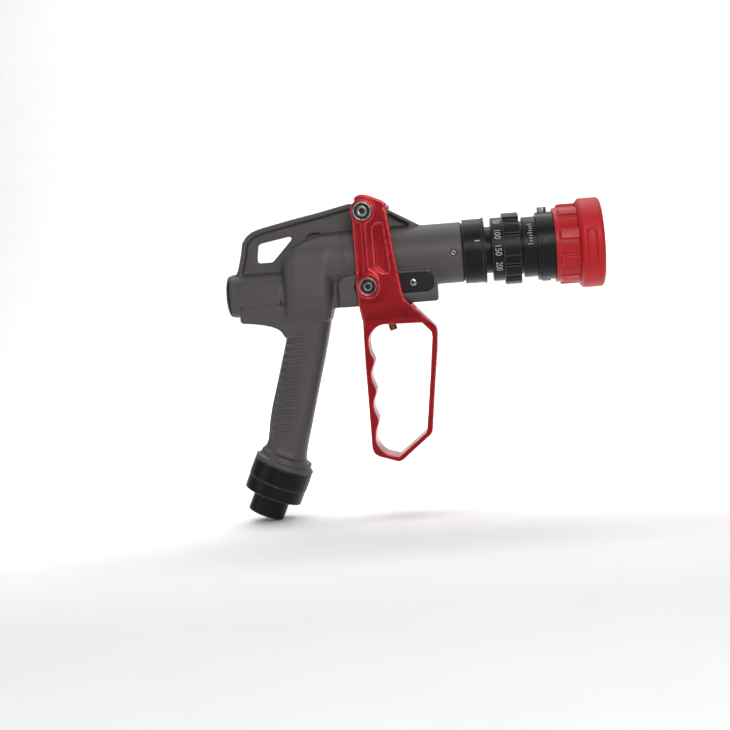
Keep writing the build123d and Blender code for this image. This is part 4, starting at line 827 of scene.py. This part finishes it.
def print_wrap(bm, radius, station, angle):
    """thickens a flat print and bends it round a ring, X going down the left side"""
    raised = bmesh.ops.extrude_face_region(bm, geom=bm.faces[:])
    for v in raised["geom"]:
        if isinstance(v, bmesh.types.BMVert):
            v.co.z += INK_THICKNESS
    for v in bm.verts:
        turn = radians(angle) + v.co.x / radius
        reach = radius - INK_SINK + v.co.z
        v.co = Vector((station + v.co.y, reach * cos(turn), reach * sin(turn)))


NUMERAL_RING_R, NUMERAL_STATION, NUMERAL_HEIGHT = 30.0, 19.6, 6.0
NUMERALS = [  # what it says, how far round from the left side in degrees, how long in mm
    ("50", -58, 6.0), ("100", -26.6, 9.3), ("150", 3, 9.3), ("200", 33, 9.3),
]
for text, turn_angle, length in NUMERALS:
    wrapped_print(f"numeral_{text}", text, LEFT_SIDE + turn_angle, length)

# %% [markdown]
# The stem's collar has an index mark, and the outer barrel a scale of short strokes.

# %% Marks
def stroke(bm, centre_x, centre_y, size_x, size_y):
    """one flat bar of print, divided along X so that it bends"""
    bar = bmesh.ops.create_grid(bm, x_segments=max(int(size_x), 1), y_segments=1, size=0.5)
    for v in bar["verts"]:
        v.co.x = centre_x + v.co.x * size_x
        v.co.y = centre_y + v.co.y * size_y


marks = bmesh.new()
stroke(marks, 0, 0, 1.1, 5.0)
print_wrap(marks, 30.3, 3.5, LEFT_SIDE - 17.3)
place_piece("index_mark", marks, ON_BARREL, "body", "black_anodised", WHITE_INK)
scale = bmesh.new()
for k in range(9):
    stroke(scale, (k - 4) * 2.6, 0 if k % 4 == 0 else 0.8, 0.7, 4.6 if k % 4 == 0 else 3.0)
print_wrap(scale, 28.5, 52.6, LEFT_SIDE - 26)
place_piece("pattern_scale", scale, ON_BARREL, "body", "black_anodised", WHITE_INK)

# %% [markdown]
# ## Studio
# A pale seamless sweep, a large soft light above and beside the camera, two weak fills, and
# two washes that keep the backdrop and the floor white. The sides that face the camera are
# bright, and the ones that face down fall off gently.

# %% Floor
FLOOR_REACH = 4.0
BEND_START, BEND_R = 2.2, 1.2
low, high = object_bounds()
floor = bmesh.new()
corner = [floor.verts.new((-FLOOR_REACH, y, low.z)) for y in (-FLOOR_REACH, BEND_START)]
floor.edges.new(corner)
bend = corner[1]
swept = bmesh.ops.spin(floor, geom=[bend], cent=(-FLOOR_REACH, BEND_START, low.z + BEND_R),
                       axis=(1, 0, 0), angle=pi / 2, steps=24, use_merge=False)
end = swept["geom_last"][0]
raised = bmesh.ops.extrude_vert_indiv(floor, verts=[end])["verts"][0]
raised.co.z += FLOOR_REACH
sheet = bmesh.ops.extrude_edge_only(floor, edges=floor.edges[:])
bmesh.ops.translate(floor, vec=(2 * FLOOR_REACH, 0, 0),
                    verts=[v for v in sheet["geom"] if isinstance(v, bmesh.types.BMVert)])
floor_mesh = bpy.data.meshes.new("studio_sweep")
floor.to_mesh(floor_mesh)
floor.free()
floor_mesh.shade_smooth()
PAPER = plain_finish("paper_matt_white", "#f4f4f3", "#f9f9f8", 60, 1.5, 0.02, (0.9, 0.95))
floor_mesh.materials.append(PAPER)
studio_sweep = bpy.data.objects.new("studio_sweep", floor_mesh)
bpy.context.scene.collection.objects.link(studio_sweep)
print("floor at", round(low.z / MM, 1), "mm")

# %% Lights
def area_light(name, spot, aim, size, watts):
    """a square soft light at a place, turned to what it lights"""
    lamp = bpy.data.lights.new(name, "AREA")
    lamp.size = size
    lamp.energy = watts
    holder = bpy.data.objects.new(name, lamp)
    holder.location = spot
    holder.rotation_euler = (Vector(aim) - Vector(spot)).to_track_quat("-Z", "Y").to_euler()
    bpy.context.scene.collection.objects.link(holder)


centre = (low + high) / 2
LIGHTS = [  # name, where it hangs and what it points at from the object's middle, size, watts
    ("front_softbox", (0.4, -1.6, 0.75), (0, 0, 0), 0.7, 15),
    ("left_fill", (-1.5, -0.9, 0.5), (0, 0, 0), 1.0, 4),
    ("top_fill", (0.1, -0.2, 1.6), (0, 0, 0), 1.0, 4),
    ("backdrop_wash", (0, 0.9, 1.3), (0, 2.6, -0.2), 2.0, 60),
    ("floor_wash", (0, 0.7, 1.5), (0, 0.7, -0.3), 1.6, 9),
]
for name, spot, aim, size, watts in LIGHTS:
    area_light(name, centre + Vector(spot), centre + Vector(aim), size, watts)
AIR_BRIGHTNESS = 0.28
world = bpy.data.worlds.new("studio_air")
world.use_nodes = True
world.node_tree.nodes["Background"].inputs["Color"].default_value = (1, 1, 1, 1)
world.node_tree.nodes["Background"].inputs["Strength"].default_value = AIR_BRIGHTNESS
bpy.context.scene.world = world

bpy.context.scene.view_settings.view_transform = "Standard"

# %% Camera
CAMERA_STATION, CAMERA_DISTANCE, CAMERA_HEIGHT = -17.384, 1237.998, -15.492
AIM_STATION, AIM_HEIGHT = -34.055, -46.625
CAMERA_ROLL = radians(4.3926)
LENS_MM, SENSOR_MM = 64.406, 36.0
SHIFT_X, SHIFT_Y = -0.105, -0.085
camera_spot = ON_BARREL @ Vector((CAMERA_STATION, -CAMERA_DISTANCE, CAMERA_HEIGHT))
camera_aim = ON_BARREL @ Vector((AIM_STATION, 0, AIM_HEIGHT))
back = (camera_spot - camera_aim).normalized()
right = Vector((sin(CAMERA_ROLL), 0, cos(CAMERA_ROLL))).cross(back).normalized()
up = back.cross(right)
camera = bpy.data.cameras.new("camera")
camera.sensor_width = SENSOR_MM
camera.lens = LENS_MM
camera.shift_x = SHIFT_X
camera.shift_y = SHIFT_Y
camera_holder = bpy.data.objects.new("camera", camera)
facing = Matrix((right, up, back)).transposed().to_4x4()
camera_holder.matrix_world = Matrix.Translation(camera_spot) @ facing
bpy.context.scene.collection.objects.link(camera_holder)
bpy.context.scene.camera = camera_holder
